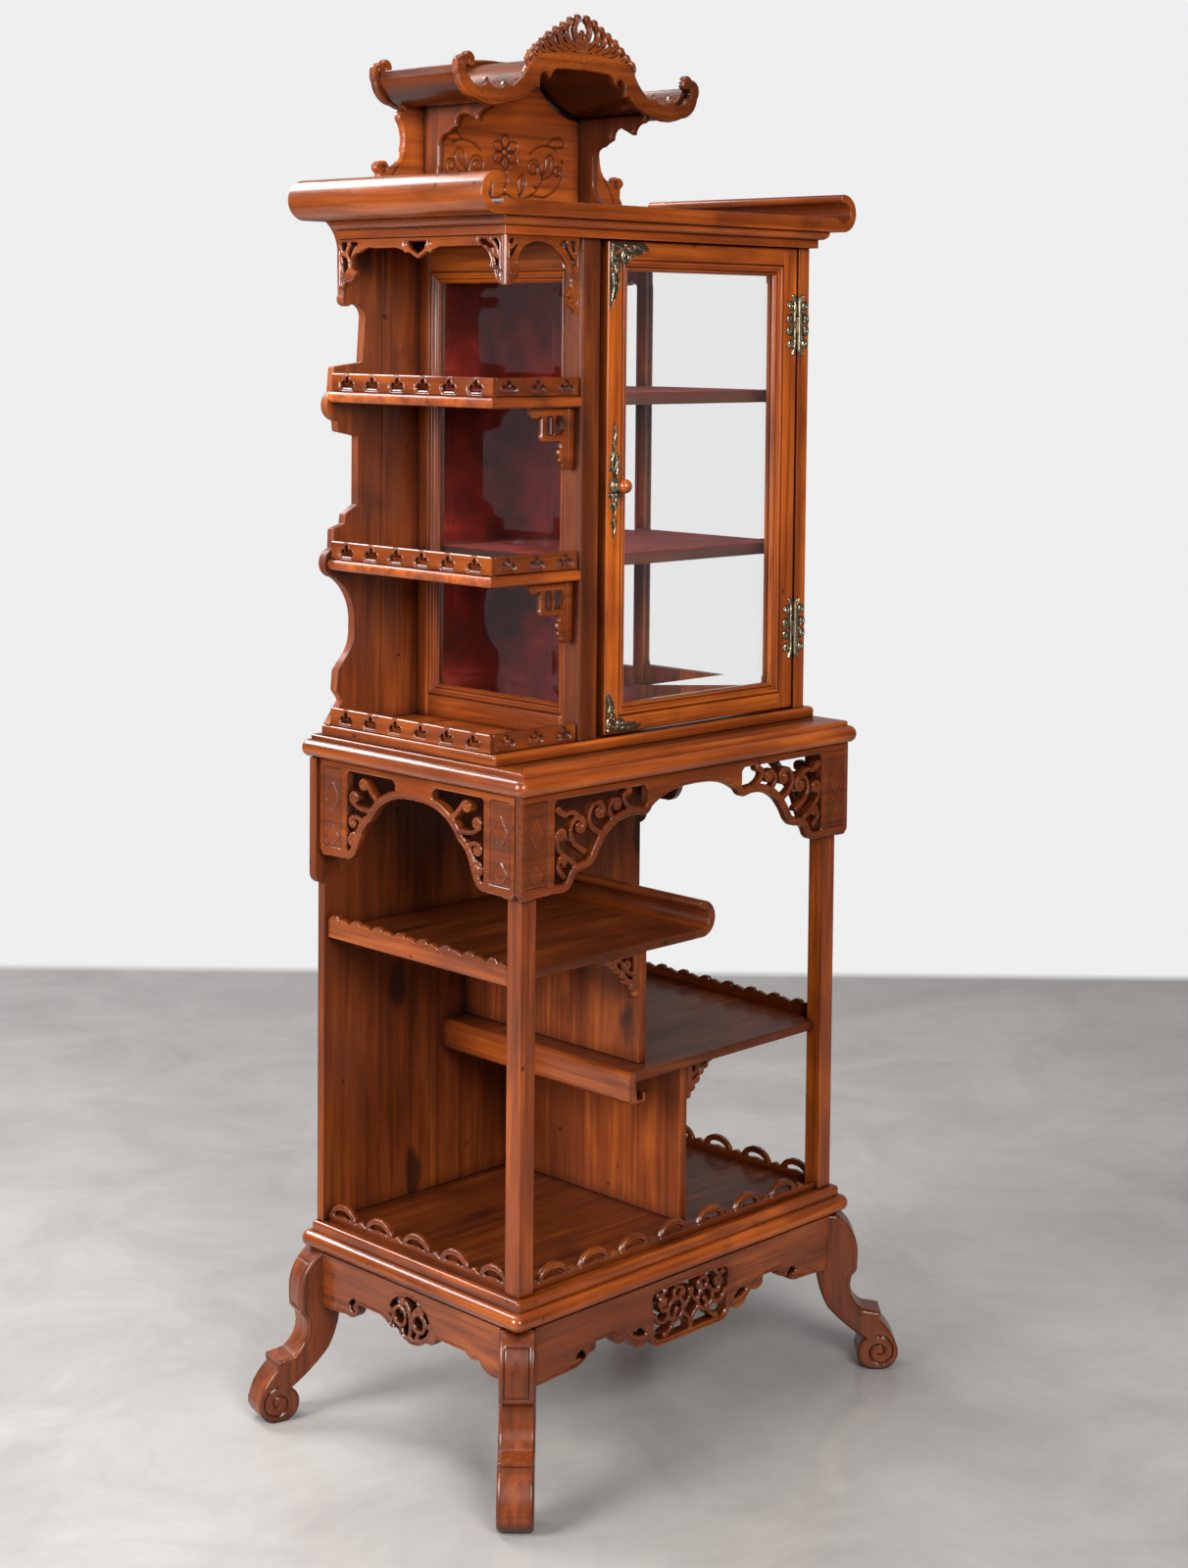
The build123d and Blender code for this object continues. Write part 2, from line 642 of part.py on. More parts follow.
def upper_back():
    """Upright back boards; their left edge is cut to a row of steps and swells."""
    base, top, left = case_floor, slab_level, -plinth_half_width
    face = outline(
        (case_right, base), (case_right, top), (left, top), ((left + 17, top - 20), (left + 22, top - 48)),
        (left + 23, top - 100), ((left + 24, top - 113), (left + 33, top - 116)),
        ((left + 57, top - 119), (left + 61, top - 132)), (left + 57, top - 194), (left + 7, top - 200),
        (left + 4, top - 234), ((left - 6, top - 254), (left + 12, top - 274)), (left + 14, top - 289),
        (left + 49, top - 296), (left + 49, base + 304), (left + 28, base + 292), (left + 26, base + 278),
        (left + 7, base + 272), (left + 6, base + 245), ((left - 9, base + 225), (left + 9, base + 205)),
        ((left + 34, base + 180), (left + 44, base + 133)), ((left + 40, base + 107), (left + 29, base + 91)),
        (left + 15, base + 74), (left + 13, base + 47), (left + 24, base + 32), (left + 9, base + 12),
        (left, base))
    board = along_y(face, case_back, case_back + upper_back_board)
    add("upper_back_boards", *cut_planks(board, upper_seams))


def split_frame(frame, x, z, width, front, back):
    """Cut a flat upright frame at its mitres; x and z are its outer limits."""
    return [frame & along_y(side, front, back) for side in mitres(x, z, width)]


def glazed_case():
    front, back = -case_front, case_back
    tall = (case_floor, case_top)
    left_post = block((-vitrine_left, -vitrine_left + front_post_width), (front, front + front_post_depth),
                      tall)
    left_post = fillet(left_post.edges().filter_by(Axis.Z).sort_by(Axis.X)[:2].sort_by(Axis.Y)[:1], 4)
    add("case_post_front_left", left_post)
    add("case_posts_right", block((right_post_left, case_right), (front, front + right_post_depth), tall),
        block((inner_right, case_right), (back - back_post_size, back), tall))

    # Left wall: a glazed frame between the front post and the back boards.
    y = (front + front_post_depth, back)
    glass_y = (y[0] + side_moulding - 4, y[1] - side_rear_stile - side_moulding)
    glass_z = (case_floor + case_rail_low + side_moulding, case_top - case_rail_high - side_moulding)
    x = (-vitrine_left, inner_left)
    rails = [block(x, y, (case_floor, glass_z[0])), block(x, y, (glass_z[1], case_top)),
             block(x, (y[0], glass_y[0]), glass_z), block(x, (glass_y[1], y[1]), glass_z)]
    add("side_frame_left", *rails)
    glass_x = -vitrine_left + (wall_thickness - glass_thickness) / 2
    left_glass = block((glass_x, glass_x + glass_thickness), glass_y, glass_z)

    # Right wall: posts at its ends, a plain rail below and a shaped rail above the glass.
    y = (front + right_post_depth, back - back_post_size)
    x = (inner_right, case_right)
    low = case_floor + case_rail_low
    high = case_top - case_rail_high
    middle = (y[0] + y[1]) / 2
    shaped = outline((y[0], case_top), (y[0], high - 10), (y[0] + 20, high - 8), (y[0] + 34, high),
                     ((middle, high + 8), (y[1] - 34, high)), (y[1] - 20, high - 8), (y[1], high - 10),
                     (y[1], case_top))
    glass_x = case_right - (wall_thickness + glass_thickness) / 2
    right_glass = block((glass_x, glass_x + glass_thickness), y, (low, high + 20))
    add("side_frame_right", block(x, y, (case_floor, low)), along_x(shaped, *x) - right_glass)
    add("side_glass", left_glass, right_glass)

    # Red-lined shelves, floor and back.
    depth = (stop_back, back - lining_thickness)
    width = (inner_left, inner_right)
    linings = [block(width, (back - lining_thickness, back), tall),
               block(width, depth, (case_floor, case_floor + lining_thickness))]
    shelves = []
    for level in case_shelf_levels:
        shelves.append(block(width, depth, (level - case_shelf, level - lining_thickness)))
        linings.append(block(width, depth, (level - lining_thickness, level)))
    add("case_shelves", *shelves)
    add("case_linings", *linings)

    stop_x = -vitrine_left + front_post_width
    add("door_stops", block((stop_x, stop_x + stop_width), (stop_front, stop_back), tall),
        block((stop_x + stop_width, right_post_left), (stop_front, stop_back), (door_top - 14, case_top)))


def trefoil_gallery(length, count):
    """A low board with pierced trefoils, drawn from 0 to length."""
    face = outline((0, 0), (0, bay_gallery), (length, bay_gallery), (length, 0))
    first = (length - trefoil_pitch * (count - 1)) / 2
    holes = []
    for i in range(count):
        x, z = first + i * trefoil_pitch, bay_gallery / 2
        hole = outline((x - 15, z - 2), ((x - 14, z + 3), (x - 6, z + 2)), ((x, z + 9), (x + 6, z + 2)),
                       ((x + 14, z + 3), (x + 15, z - 2)), ((x, z - 7), (x - 15, z - 2)))
        holes.append(hole)
    return pierced(face, holes)


def open_bay():
    left, front = -bay_half_width, -bay_front
    inner = left + bay_gallery_thickness
    side_length = case_back - front
    front_length = -vitrine_left - inner
    galleries = []
    for level in (case_floor, ) + bay_shelf_tops:
        side = Pos(front, level) * trefoil_gallery(side_length, 6)
        across = Pos(inner, level) * trefoil_gallery(front_length, 3)
        galleries += [along_x(side, left, inner), along_y(across, front, front + bay_gallery_thickness)]
    add("bay_galleries", *galleries)
    for name, level in zip(("lower", "upper"), bay_shelf_tops):
        shelf = block((left - bay_shelf_out, -vitrine_left), (front - bay_shelf_out, case_back),
                      (level - bay_shelf, level))
        low_front = shelf.faces().sort_by(Axis.Y)[0].edges() + shelf.faces().sort_by(Axis.X)[0].edges()
        add(f"bay_shelf_{name}", fillet(low_front.filter_by(Plane.XY), bay_shelf / 2 - 1))

    # Angular fretwork brackets under the shelves, beside the glazed case.
    w, h = bay_bracket_width, bay_bracket_height
    shape = outline((0, 0), (-w, 0), (-w + 4, -12), (-60, -12), (-60, -44), (-24, -44), (-24, -56),
                    (-30, -62), (-24, -74), (-12, -h), (0, -h))
    shape = pierced(shape, [outline((-52, -12), (-52, -32), (-38, -36), (-38, -12)),
                            outline((-32, -12), (-32, -36), (-20, -36), (-20, -12))])
    plane = -case_front + bay_bracket_inset
    shapes = []
    for level in bay_shelf_tops:
        face = Pos(-vitrine_left, level - bay_shelf) * shape
        shapes.append(along_y(face, plane, plane + bay_bracket))
    add("bay_brackets", *shapes)


def bay_frets():
    """Two fretwork friezes that hang from the cornice over the bay's open sides."""
    top = case_top
    back, front = case_back, -fret_front + fret_thickness
    pendant = (front + back) / 2 + fret_pendant_shift
    run = [(back, top), (back, top - 66), (back - 12, top - 72), (back - 30, top - 55), (back - 39, top - 44),
           ((back - 40, top - 24), (back - 75, top - fret_rail)), (pendant + 44, top - fret_rail),
           (pendant + 26, top - 19), (pendant, top - 29), (pendant - 26, top - 20),
           (pendant - 44, top - fret_rail), (front + 57, top - fret_rail),
           ((front + 30, top - 20), (front + 26, top - 42)), (front + 14, top - 50), (front + 8, top - 66),
           (front, top - 66), (front, top)]
    holes = ((back - 16, top - 26, 24, 12, 70), (front + 12, top - 24, 24, 9, 110),
             (pendant, top - 13, 20, 8, 0))
    side = along_x(pierced(outline(*run), ovals(*holes)), -fret_left, -fret_left + fret_thickness)
    left, right = -fret_left, -vitrine_left - fret_post_gap
    run = [(left, top), (left, top - 66), (left + 9, top - 66), (left + 19, top - 46), (left + 16, top - 32),
           ((left + 54, top - 10), (right - 22, top - 36)), ((right - 12, top - 52), (right - 14, top - 68)),
           (right - 28, top - 76), (right - 14, top - 86), (right - 12, top - 100), (right, top - 102),
           (right, top)]
    holes = ((right - 14, top - 22, 26, 9, -50), (left + 12, top - 16, 16, 8, 50))
    across = along_y(pierced(outline(*run), ovals(*holes)), -fret_front, -fret_front + fret_thickness)
    add("bay_fret_left", side)
    add("bay_fret_front", across)


def cornice_and_top():
    fillet_board = block((-cornice_fillet_half, cornice_fillet_half), (-cornice_fillet_front, case_back),
                         (case_top, fillet_top))
    ovolo = block((-cornice_ovolo_half, cornice_ovolo_half), (-cornice_ovolo_front, case_back),
                  (fillet_top, slab_level))
    low = ovolo.faces().sort_by(Axis.Z)[0].edges()
    low = low.filter_by(lambda edge: edge.center().Y < case_back - 1)
    add("cornice_moulding", fillet_board, fillet(low, cornice_ovolo - 2))

    bore = roll_radius - roll_wall
    axis_z = slab_level + roll_radius
    meet = roll_axis - math.sqrt(bore ** 2 - (axis_z - slab_top) ** 2)
    lip = roll_wall / 2
    half = [(0, slab_level), (roll_axis, slab_level),
            ((roll_axis + roll_radius, axis_z), (roll_axis, axis_z + roll_radius)),
            ((roll_axis - lip, axis_z + roll_radius - lip), (roll_axis, axis_z + bore)),
            ((roll_axis + bore, axis_z), (meet, slab_top)), (0, slab_top)]
    right = along_y(outline(*half), -slab_front, slab_back)
    slab = right + mirror(right, Plane.YZ)
    add("top_slab", slab)


def shrine():
    base, eaves, half_span = slab_top, slab_top + eave_lift, shrine_half
    front, back = gable_front, shrine_back_y + shrine_board

    # Gables: a low ridge board that sweeps out to upturned eaves, in front of and behind the roof.
    half = outline(
        (0, eaves + 51), ((half_span - 116, eaves + 48), (half_span - 82, eaves + 30)),
        ((half_span - 48, eaves + 6), (half_span, eaves - 4)),
        ((half_span + 55, eaves - 2), (half_span + 78, eaves + 30)),
        ((half_span + 72, eaves + 51), (half_span + 50, eaves + 48)),
        ((half_span + 54, eaves + 36), (half_span + 36, eaves + 22)),
        ((half_span - 10, eaves + 14), (half_span - 54, eaves + 50)),
        ((half_span - 104, eaves + 72), (0, eaves + crest_foot)))
    half = along_y(half, front, front + gable_thickness)
    front_gable = half + mirror(half, Plane.YZ)
    rear = Pos(0, back - front, 0) * front_gable
    add("shrine_gables", front_gable, rear)

    top = eaves + roof_board
    half = outline(
        (0, eaves + 54), ((half_span - 116, eaves + 51), (half_span - 81, eaves + 33)),
        ((half_span - 48, eaves + 10), (half_span, eaves)),
        ((half_span + 52, eaves + 2), (half_span + 72, eaves + 30)), (half_span + 70, eaves + 42),
        (half_span + 59, eaves + 42), ((half_span + 40, top + 7), (half_span, top)),
        ((half_span - 41, top + 7), (half_span - 73, top + 33)), ((half_span - 112, top + 52), (0, top + 54)))
    half = along_y(half, front + gable_thickness, back)
    roof = half + mirror(half, Plane.YZ)

    reach = half_span + wing_reach
    wing = [(0, base), (reach, base), (reach - 4, base + 42), ((reach, base + 62), (reach - 18, base + 64)),
            ((reach - 42, base + 76), (reach - 48, base + 100)),
            ((reach - 42, eaves - 25), (reach - 56, eaves - 11)), (reach - 40, eaves),
            (half_span, eaves + 22), (half_span - 74, eaves + 50), (0, eaves + 56)]
    half = along_y(outline(*wing), shrine_back_y, back)
    panel = half + mirror(half, Plane.YZ) - roof - upper_fill(roof)
    add("shrine_back_panel", panel)

    cheek = outline(
        (shrine_back_y, base), (front + 65, base), (front + 69, base + 12), (front + 89, base + 18),
        ((front + 119, base + 32), (front + 127, base + 64)), (front + 127, eaves - 62),
        ((front + 123, eaves - 48), (front + 109, eaves - 42)), (front + 89, eaves - 32),
        ((front + 83, eaves - 18), (front + 67, eaves - 20)),
        ((front + 57, eaves - 32), (front + 41, eaves - 26)), ((front + 25, eaves - 18), (front + 21, eaves)),
        (front + 21, eaves + 20), (shrine_back_y, eaves + 20))
    cheeks = []
    for side in (-1, 1):
        x = sorted((side * shrine_half, side * (shrine_half - shrine_board)))
        cheeks.append(along_x(cheek, *x) - roof - upper_fill(roof))
    add("shrine_side_panels", *cheeks)
    add("shrine_roof", roof)

    # Crest of leafy scrolls on the gable's ridge.
    foot = eaves + crest_foot
    half = [(0, foot), (0, foot + 44), ((10, foot + 54), (22, foot + 38)), ((34, foot + 44), (44, foot + 29)),
            ((58, foot + 34), (66, foot + 20)), ((78, foot + 22), (82, foot + 8)),
            ((94, foot + 6), (96, foot - 6)), ((110, foot - 12), (106, foot - 24)),
            ((56, foot - 2), (0, foot))]
    holes = ovals((14, foot + 14, 14, 10, 60), (36, foot + 10, 16, 10, 150), (62, foot + 2, 15, 8, 150))
    face = front + crest_inset
    half = along_y(pierced(outline(*half), holes), face, face + crest_thickness)
    add("shrine_crest", half + mirror(half, Plane.YZ))


def upper_fill(roof):
    """Everything above the roof's underside, to trim the boards that rise into it."""
    return Pos(0, 0, roof_board - 1) * roof + Pos(0, 0, 2 * roof_board - 2) * roof


def door():
    x, z = (-door_left, door_right), (door_bottom, door_top)
    front, back = -case_front, door_back
    frame = block(x, (front, back), z)
    glass_y = front + door_moulding_depth + glass_rebate
    opening = ((opening_left, opening_right), (opening_low, opening_high))
    frame -= block(opening[0], (front, back), opening[1])
    splay = []
    for grow in (door_moulding, 0):
        middle = [(side[0] + side[1]) / 2 for side in opening]
        width, height = [side[1] - side[0] + 2 * grow for side in opening]
        splay.append(Pos(*middle) * Rectangle(width, height))
    planes = [Plane(origin=(0, y, 0), x_dir=(1, 0, 0), z_dir=(0, -1, 0))
              for y in (front, front + door_moulding_depth)]
    frame -= loft([planes[i].location * splay[i].face() for i in (0, 1)])
    bore = Pos(knob_x, (front + back) / 2, knob_level) * Rot(90, 0, 0)
    frame -= bore * Cylinder(spindle_radius + running_fit, door_thickness + 2)
    add("door_frame", *split_frame(frame, x, z, door_stile + door_moulding + 0.5, front, back))
    add("door_glass", block(opening[0], (glass_y, glass_y + glass_thickness), opening[1]))

    # Brass corner mounts and the escutcheon, nailed on the front.
    w, h = corner_mount_width, corner_mount_height
    mount = outline((0, 0), (w, 0), ((w - 6, -8), (w - 22, -6)), ((w - 30, -18), (28, -16)),
                    ((24, -26), (16, -30)), ((20, -h + 30), (8, -h + 22)), ((8, -h + 6), (2, -h)), (0, -h))
    inset = corner_mount_inset
    top_mount = Pos(x[0] + inset, z[1] - inset) * mount
    low_mount = Pos(x[0] + inset, z[0] + inset) * mirror(scale(mount, (0.93, 0.63, 1)), Plane.XZ)
    mounts = [along_y(face, front - plate, front) for face in (top_mount, low_mount)]
    add("door_corner_mounts", *mounts)
    a, b = escutcheon_width / 2, escutcheon_height / 2
    half = [(0, b), ((a * 0.3, b * 0.8), (a * 0.4, b * 0.62)), ((a, b * 0.42), (a * 0.55, b * 0.24)),
            ((a * 1.05, 0), (a * 0.55, -b * 0.24)), ((a, -b * 0.42), (a * 0.4, -b * 0.62)),
            ((a * 0.3, -b * 0.8), (0, -b))]
    half = along_y(Pos(knob_x, knob_level + 7) * outline(*half), front - plate, front)
    other = Pos(2 * knob_x, 0, 0) * mirror(half, Plane.YZ)
    add("door_escutcheon", half + other - bore * Cylinder(spindle_radius + running_fit, 3 * door_thickness))

    # Turned knob on a spindle, with the latch cam behind the door stop; at rest the cam hangs clear.
    rose = front - plate - knuckle_gap
    tip = front - knob_reach
    r = knob_radius
    profile = outline((0, tip), ((r * 0.72, tip + r * 0.35), (r, tip + r)),
                      ((r * 0.72, tip + 1.7 * r), (knob_neck, tip + 1.9 * r)), (knob_neck, rose - 4),
                      (knob_rose, rose - 3), (knob_rose, rose), (spindle_radius, rose),
                      (spindle_radius, cam_y), (0, cam_y))
    knob = revolve(profile, Axis.Y)
    add("door_knob", Pos(knob_x, 0, knob_level) * knob)
    cam = outline((-cam_width / 2, cam_width / 2), (cam_width / 2, cam_width / 2),
                  (cam_width / 2, -cam_length), (-cam_width / 2, -cam_length))
    add("latch_cam", along_y(Pos(knob_x, knob_level) * cam, cam_y, cam_y + cam_thickness))


def hinges():
    """Two ornate butterfly hinges: plates on the door and the post, knuckles round a pin."""
    front = -case_front
    k = hinge_height / 2
    third = knuckle_height / 3
    wide = hinge_leaf
    wing = [(0, knuckle_height / 2), (wide * 0.27, k * 0.5), ((wide * 0.45, k * 0.95), (wide * 0.6, k * 0.8)),
            ((wide, k * 0.7), (wide * 0.8, k * 0.4)), ((wide * 1.1, 0), (wide * 0.8, -k * 0.4)),
            ((wide, -k * 0.7), (wide * 0.6, -k * 0.8)), ((wide * 0.45, -k * 0.95), (wide * 0.27, -k * 0.5)),
            (0, -knuckle_height / 2)]
    post_leaves, door_leaves, pins = [], [], []
    for level in hinge_levels:
        axle = Pos(hinge_x, hinge_y, level)
        post_plate = along_y(Pos(hinge_x, level) * outline(*wing), front - plate, front)
        door_plate = along_y(Pos(hinge_x, level) * mirror(outline(*wing), Plane.YZ), front - plate, front)
        middle = axle * Cylinder(knuckle_radius, 2 * third - 2 * knuckle_gap)
        ends = axle * Cylinder(knuckle_radius, 6 * third) - axle * Cylinder(2 * knuckle_radius, 2 * third)
        room = axle * Cylinder(knuckle_radius + knuckle_gap, 2 * third)
        end_room = axle * Cylinder(knuckle_radius + knuckle_gap, 2 * k) - room
        post_leaf = post_plate - room - axle * Pos(-k, 0, 0) * Box(2 * k, 2 * k, 3 * k) + ends
        door_leaf = door_plate - end_room - axle * Pos(k, 0, 0) * Box(2 * k, 2 * k, 3 * k) + middle
        post_leaves.append(post_leaf - axle * Cylinder(pin_radius, 3 * k))
        door_leaves.append(door_leaf - axle * Cylinder(pin_radius + running_fit, 3 * k))
        pin = axle * Cylinder(pin_radius, 6 * third)
        for end in (-1, 1):
            pin += axle * Pos(0, 0, end * (3 * third + 1)) * Cylinder(knuckle_radius - plate, 2)
        pins.append(pin)
    add("hinge_post_leaves", *post_leaves)
    add("hinge_door_leaves", *door_leaves)
    add("hinge_pins", *pins)


for make in (stand_base, base_gallery, posts_and_back, scroll_shelves, spandrels, waist_and_plinth,
             upper_back, glazed_case, open_bay, bay_frets, cornice_and_top, shrine, door, hinges):
    make()

# The legs reach further in front than behind, so the footprint's middle lies in front of the stand's.
whole = Compound([solid for part in parts.values() for solid in part.solids()]).bounding_box()
to_middle = Pos(-(whole.min.X + whole.max.X) / 2, -(whole.min.Y + whole.max.Y) / 2, -whole.min.Z)
for name, part in parts.items():
    export_step(to_middle * part, f"parts/{name}.step")
print("moved by", to_middle.position, "overall", whole.size)
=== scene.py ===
import bpy
import bmesh
import json
import math
import numpy as np
from mathutils import Matrix, Vector


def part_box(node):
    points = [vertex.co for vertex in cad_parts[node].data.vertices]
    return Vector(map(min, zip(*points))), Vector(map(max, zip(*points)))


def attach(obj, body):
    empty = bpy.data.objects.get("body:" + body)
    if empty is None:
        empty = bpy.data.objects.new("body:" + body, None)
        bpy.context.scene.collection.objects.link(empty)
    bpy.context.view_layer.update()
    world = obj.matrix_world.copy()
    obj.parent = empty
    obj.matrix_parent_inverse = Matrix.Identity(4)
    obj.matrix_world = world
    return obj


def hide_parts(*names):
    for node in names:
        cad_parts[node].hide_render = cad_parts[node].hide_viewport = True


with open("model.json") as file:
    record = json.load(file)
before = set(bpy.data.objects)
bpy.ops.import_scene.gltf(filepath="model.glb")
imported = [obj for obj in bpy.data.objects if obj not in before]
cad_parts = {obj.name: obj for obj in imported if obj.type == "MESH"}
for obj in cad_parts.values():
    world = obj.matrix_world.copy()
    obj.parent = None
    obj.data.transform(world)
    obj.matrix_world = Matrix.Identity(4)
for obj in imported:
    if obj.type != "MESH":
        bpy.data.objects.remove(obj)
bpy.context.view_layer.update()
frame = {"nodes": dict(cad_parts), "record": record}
record = frame["record"]
mm = 0.001

bodyOf = {node: body for body, nodes in record["behaviour"]["bodies"].items() for node in nodes}


cutLimit = 1.8      # the deepest cut in aprons, spandrels, gables and crest, in millimetres


# Drawing helpers: everything flat is drawn in millimetres.

def arcPoints(a, b, c, stepLength=1.6):
    # The circle through a, b and c, walked from a over b to c in equal turns.
    (ax, ay), (bx, by), (cx, cy) = a, b, c
    d = 2 * (ax * (by - cy) + bx * (cy - ay) + cx * (ay - by))
    if abs(d) < 1e-9:
        return np.array([b, c], float)
    ox = ((ax**2 + ay**2) * (by - cy) + (bx**2 + by**2) * (cy - ay) + (cx**2 + cy**2) * (ay - by)) / d
    oy = ((ax**2 + ay**2) * (cx - bx) + (bx**2 + by**2) * (ax - cx) + (cx**2 + cy**2) * (bx - ax)) / d
    first = math.atan2(ay - oy, ax - ox)
    through = (math.atan2(by - oy, bx - ox) - first) % (2 * math.pi)
    turn = (math.atan2(cy - oy, cx - ox) - first) % (2 * math.pi)
    if through > turn:
        turn -= 2 * math.pi
    radius = math.hypot(ax - ox, ay - oy)
    count = max(4, int(abs(turn) * radius / stepLength))
    angle = first + turn * np.arange(1, count + 1) / count
    return np.stack([ox + radius * np.cos(angle), oy + radius * np.sin(angle)], axis=1)


def trace(start, *steps):
    # A point makes a straight run; a (through, end) pair makes an arc.
    runs, at = [np.array([start], float)], start
    for step in steps:
        if isinstance(step[0], (tuple, list)):
            runs.append(arcPoints(at, step[0], step[1]))
            at = step[1]
        else:
            runs.append(np.array([step], float))
            at = step
    return np.concatenate(runs)


def smooth(points, perRun=8):
    # A Catmull-Rom curve: each run blends the four points around it with cubic weights.
    p = np.asarray(points, float)
    q = np.concatenate([[2 * p[0] - p[1]], p, [2 * p[-1] - p[-2]]])
    t = (np.arange(perRun) / perRun)[:, None]
    runs = [0.5 * (2 * b + (c - a) * t + (2 * a - 5 * b + 4 * c - d) * t**2 + (3 * b - a - 3 * c + d) * t**3)
            for a, b, c, d in zip(q, q[1:], q[2:], q[3:])]
    return np.concatenate(runs + [p[-1:]])


def spiral(x, y, outer, inner, start, turns):
    # Radius shrinks evenly from outer to inner while the angle goes round.
    count = max(8, int(abs(turns) * 26))
    t = np.linspace(0, 1, count)
    angle = math.radians(start) + 2 * math.pi * turns * t
    radius = outer + (inner - outer) * t
    return np.stack([x + radius * np.cos(angle), y + radius * np.sin(angle)], axis=1)


def flipped(line):
    return np.asarray(line, float) * (-1, 1)


def shifted(line, dx, dy):
    return np.asarray(line, float) + (dx, dy)


# Fields: signed distances in millimetres, negative inside.

def lineField(u, v, line):
    # Distance to the nearest run of the line, and how far along the line (0 to 1) that nearest point is.
    line = np.asarray(line, float)
    length = np.concatenate([[0], np.cumsum(np.hypot(*np.diff(line, axis=0).T))])
    best, along = np.full(u.shape, 1e9), np.zeros(u.shape)
    for a, b, s0, s1 in zip(line, line[1:], length, length[1:]):
        dx, dy = b - a
        t = np.clip(((u - a[0]) * dx + (v - a[1]) * dy) / max(dx * dx + dy * dy, 1e-12), 0, 1)
        d = (u - a[0] - t * dx)**2 + (v - a[1] - t * dy)**2
        near = d < best
        best = np.where(near, d, best)
        along = np.where(near, s0 + t * (s1 - s0), along)
    return np.sqrt(best), along / max(length[-1], 1e-9)


def shapeField(u, v, line):
    # Distance to a closed outline, negative where a ray to the right crosses it an odd number of times.
    line = np.asarray(line, float)
    if np.hypot(*(line[0] - line[-1])) > 1e-6:
        line = np.concatenate([line, line[:1]])
    distance = lineField(u, v, line)[0]
    inside = np.zeros(u.shape, bool)
    for (ax, ay), (bx, by) in zip(line, line[1:]):
        if ay != by:
            crosses = ((ay > v) != (by > v)) & (u < ax + (v - ay) * (bx - ax) / (by - ay))
            inside ^= crosses
    return np.where(inside, -distance, distance)


def shapeOf(outline):
    return lambda u, v: shapeField(u, v, outline)


def between(a, b):
    return min(a, b), max(a, b)


def strandField(u, v, line, *widths):
    # Distance to a strand whose half width runs through the given widths along the line.
    distance, along = lineField(u, v, line)
    return distance - np.interp(along, np.linspace(0, 1, len(widths)), widths)


def nearBox(u, v, line, margin):
    line = np.asarray(line, float)
    low, high = line.min(0) - margin, line.max(0) + margin
    return (u > low[0]) & (u < high[0]) & (v > low[1]) & (v < high[1])


def local(u, v, line, margin, fill, work):
    # Work a field out only near its line, and keep a plain value elsewhere.
    result = np.full(u.shape, float(fill))
    near = nearBox(u, v, line, margin)
    if near.any():
        result[near] = work(u[near], v[near])
    return result


def groove(u, v, line, width, depth):
    # A rounded cut along a line.
    line = np.asarray(line, float)
    return local(u, v, line, 3 * width, 0,
                 lambda a, b: -depth * np.exp(-(lineField(a, b, line)[0] / width)**2))


def cutsAlong(u, v, lines, width=0.8, depth=0.9):
    return sum(groove(u, v, line, width, depth) for line in lines)


def ridge(u, v, line, widths, height):
    # A rounded strand that stands up along a line: a half ellipse across its width.
    def rise(a, b):
        distance, along = lineField(a, b, line)
        half = np.maximum(np.interp(along, np.linspace(0, 1, len(widths)), widths), 0.05)
        return height * np.sqrt(np.clip(1 - (distance / half)**2, 0, 1))
    return local(u, v, line, max(widths) + 1, 0, rise)


def bell(x, centre, width):
    # One at the centre, falling to nothing on both sides.
    return np.exp(-((x - centre) / width)**2)


def softStep(x, low, high):
    t = np.clip((x - low) / (high - low), 0, 1)
    return t * t * (3 - 2 * t)


# Meshes.

def newPiece(name, data):
    piece = bpy.data.objects.new(name, data)
    bpy.context.scene.collection.objects.link(piece)
    return piece


def shadeSmooth(mesh, sharp):
    # Smooth shading that breaks at edges sharper than the angle.
    mesh.polygons.foreach_set("use_smooth", np.ones(len(mesh.polygons), bool))
    mesh.set_sharp_from_angle(angle=math.radians(sharp))


def facesOutward(mesh):
    work = bmesh.new()
    work.from_mesh(mesh)
    bmesh.ops.recalc_face_normals(work, faces=work.faces)
    work.to_mesh(mesh)
    work.free()


def makeMesh(name, points, quads, triangles=(), carve=None, sharp=38):
    quads = np.asarray(quads, int).reshape(-1, 4)
    triangles = np.asarray(triangles, int).reshape(-1, 3)
    loops = np.concatenate([quads.ravel(), triangles.ravel()]).astype(np.int32)
    starts = np.concatenate([np.arange(len(quads)) * 4,
                             4 * len(quads) + np.arange(len(triangles)) * 3]).astype(np.int32)
    mesh = bpy.data.meshes.new(name)
    mesh.vertices.add(len(points))
    mesh.vertices.foreach_set("co", np.asarray(points, np.float32).ravel())
    mesh.loops.add(len(loops))
    mesh.loops.foreach_set("vertex_index", loops)
    mesh.polygons.add(len(starts))
    mesh.polygons.foreach_set("loop_start", starts)
    mesh.update(calc_edges=True)
    if carve is not None:
        attribute = mesh.attributes.new("carve", "FLOAT", "POINT")
        attribute.data.foreach_set("value", np.asarray(carve, np.float32))
    shadeSmooth(mesh, sharp)
    return newPiece(name, mesh)


def dress(piece, finish, node):
    # The finish, the body it moves with and the plain node it stands for.
    piece.data.materials.clear()
    piece.data.materials.append(finishes[finish])
    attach(piece, bodyOf[node])
    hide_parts(node)


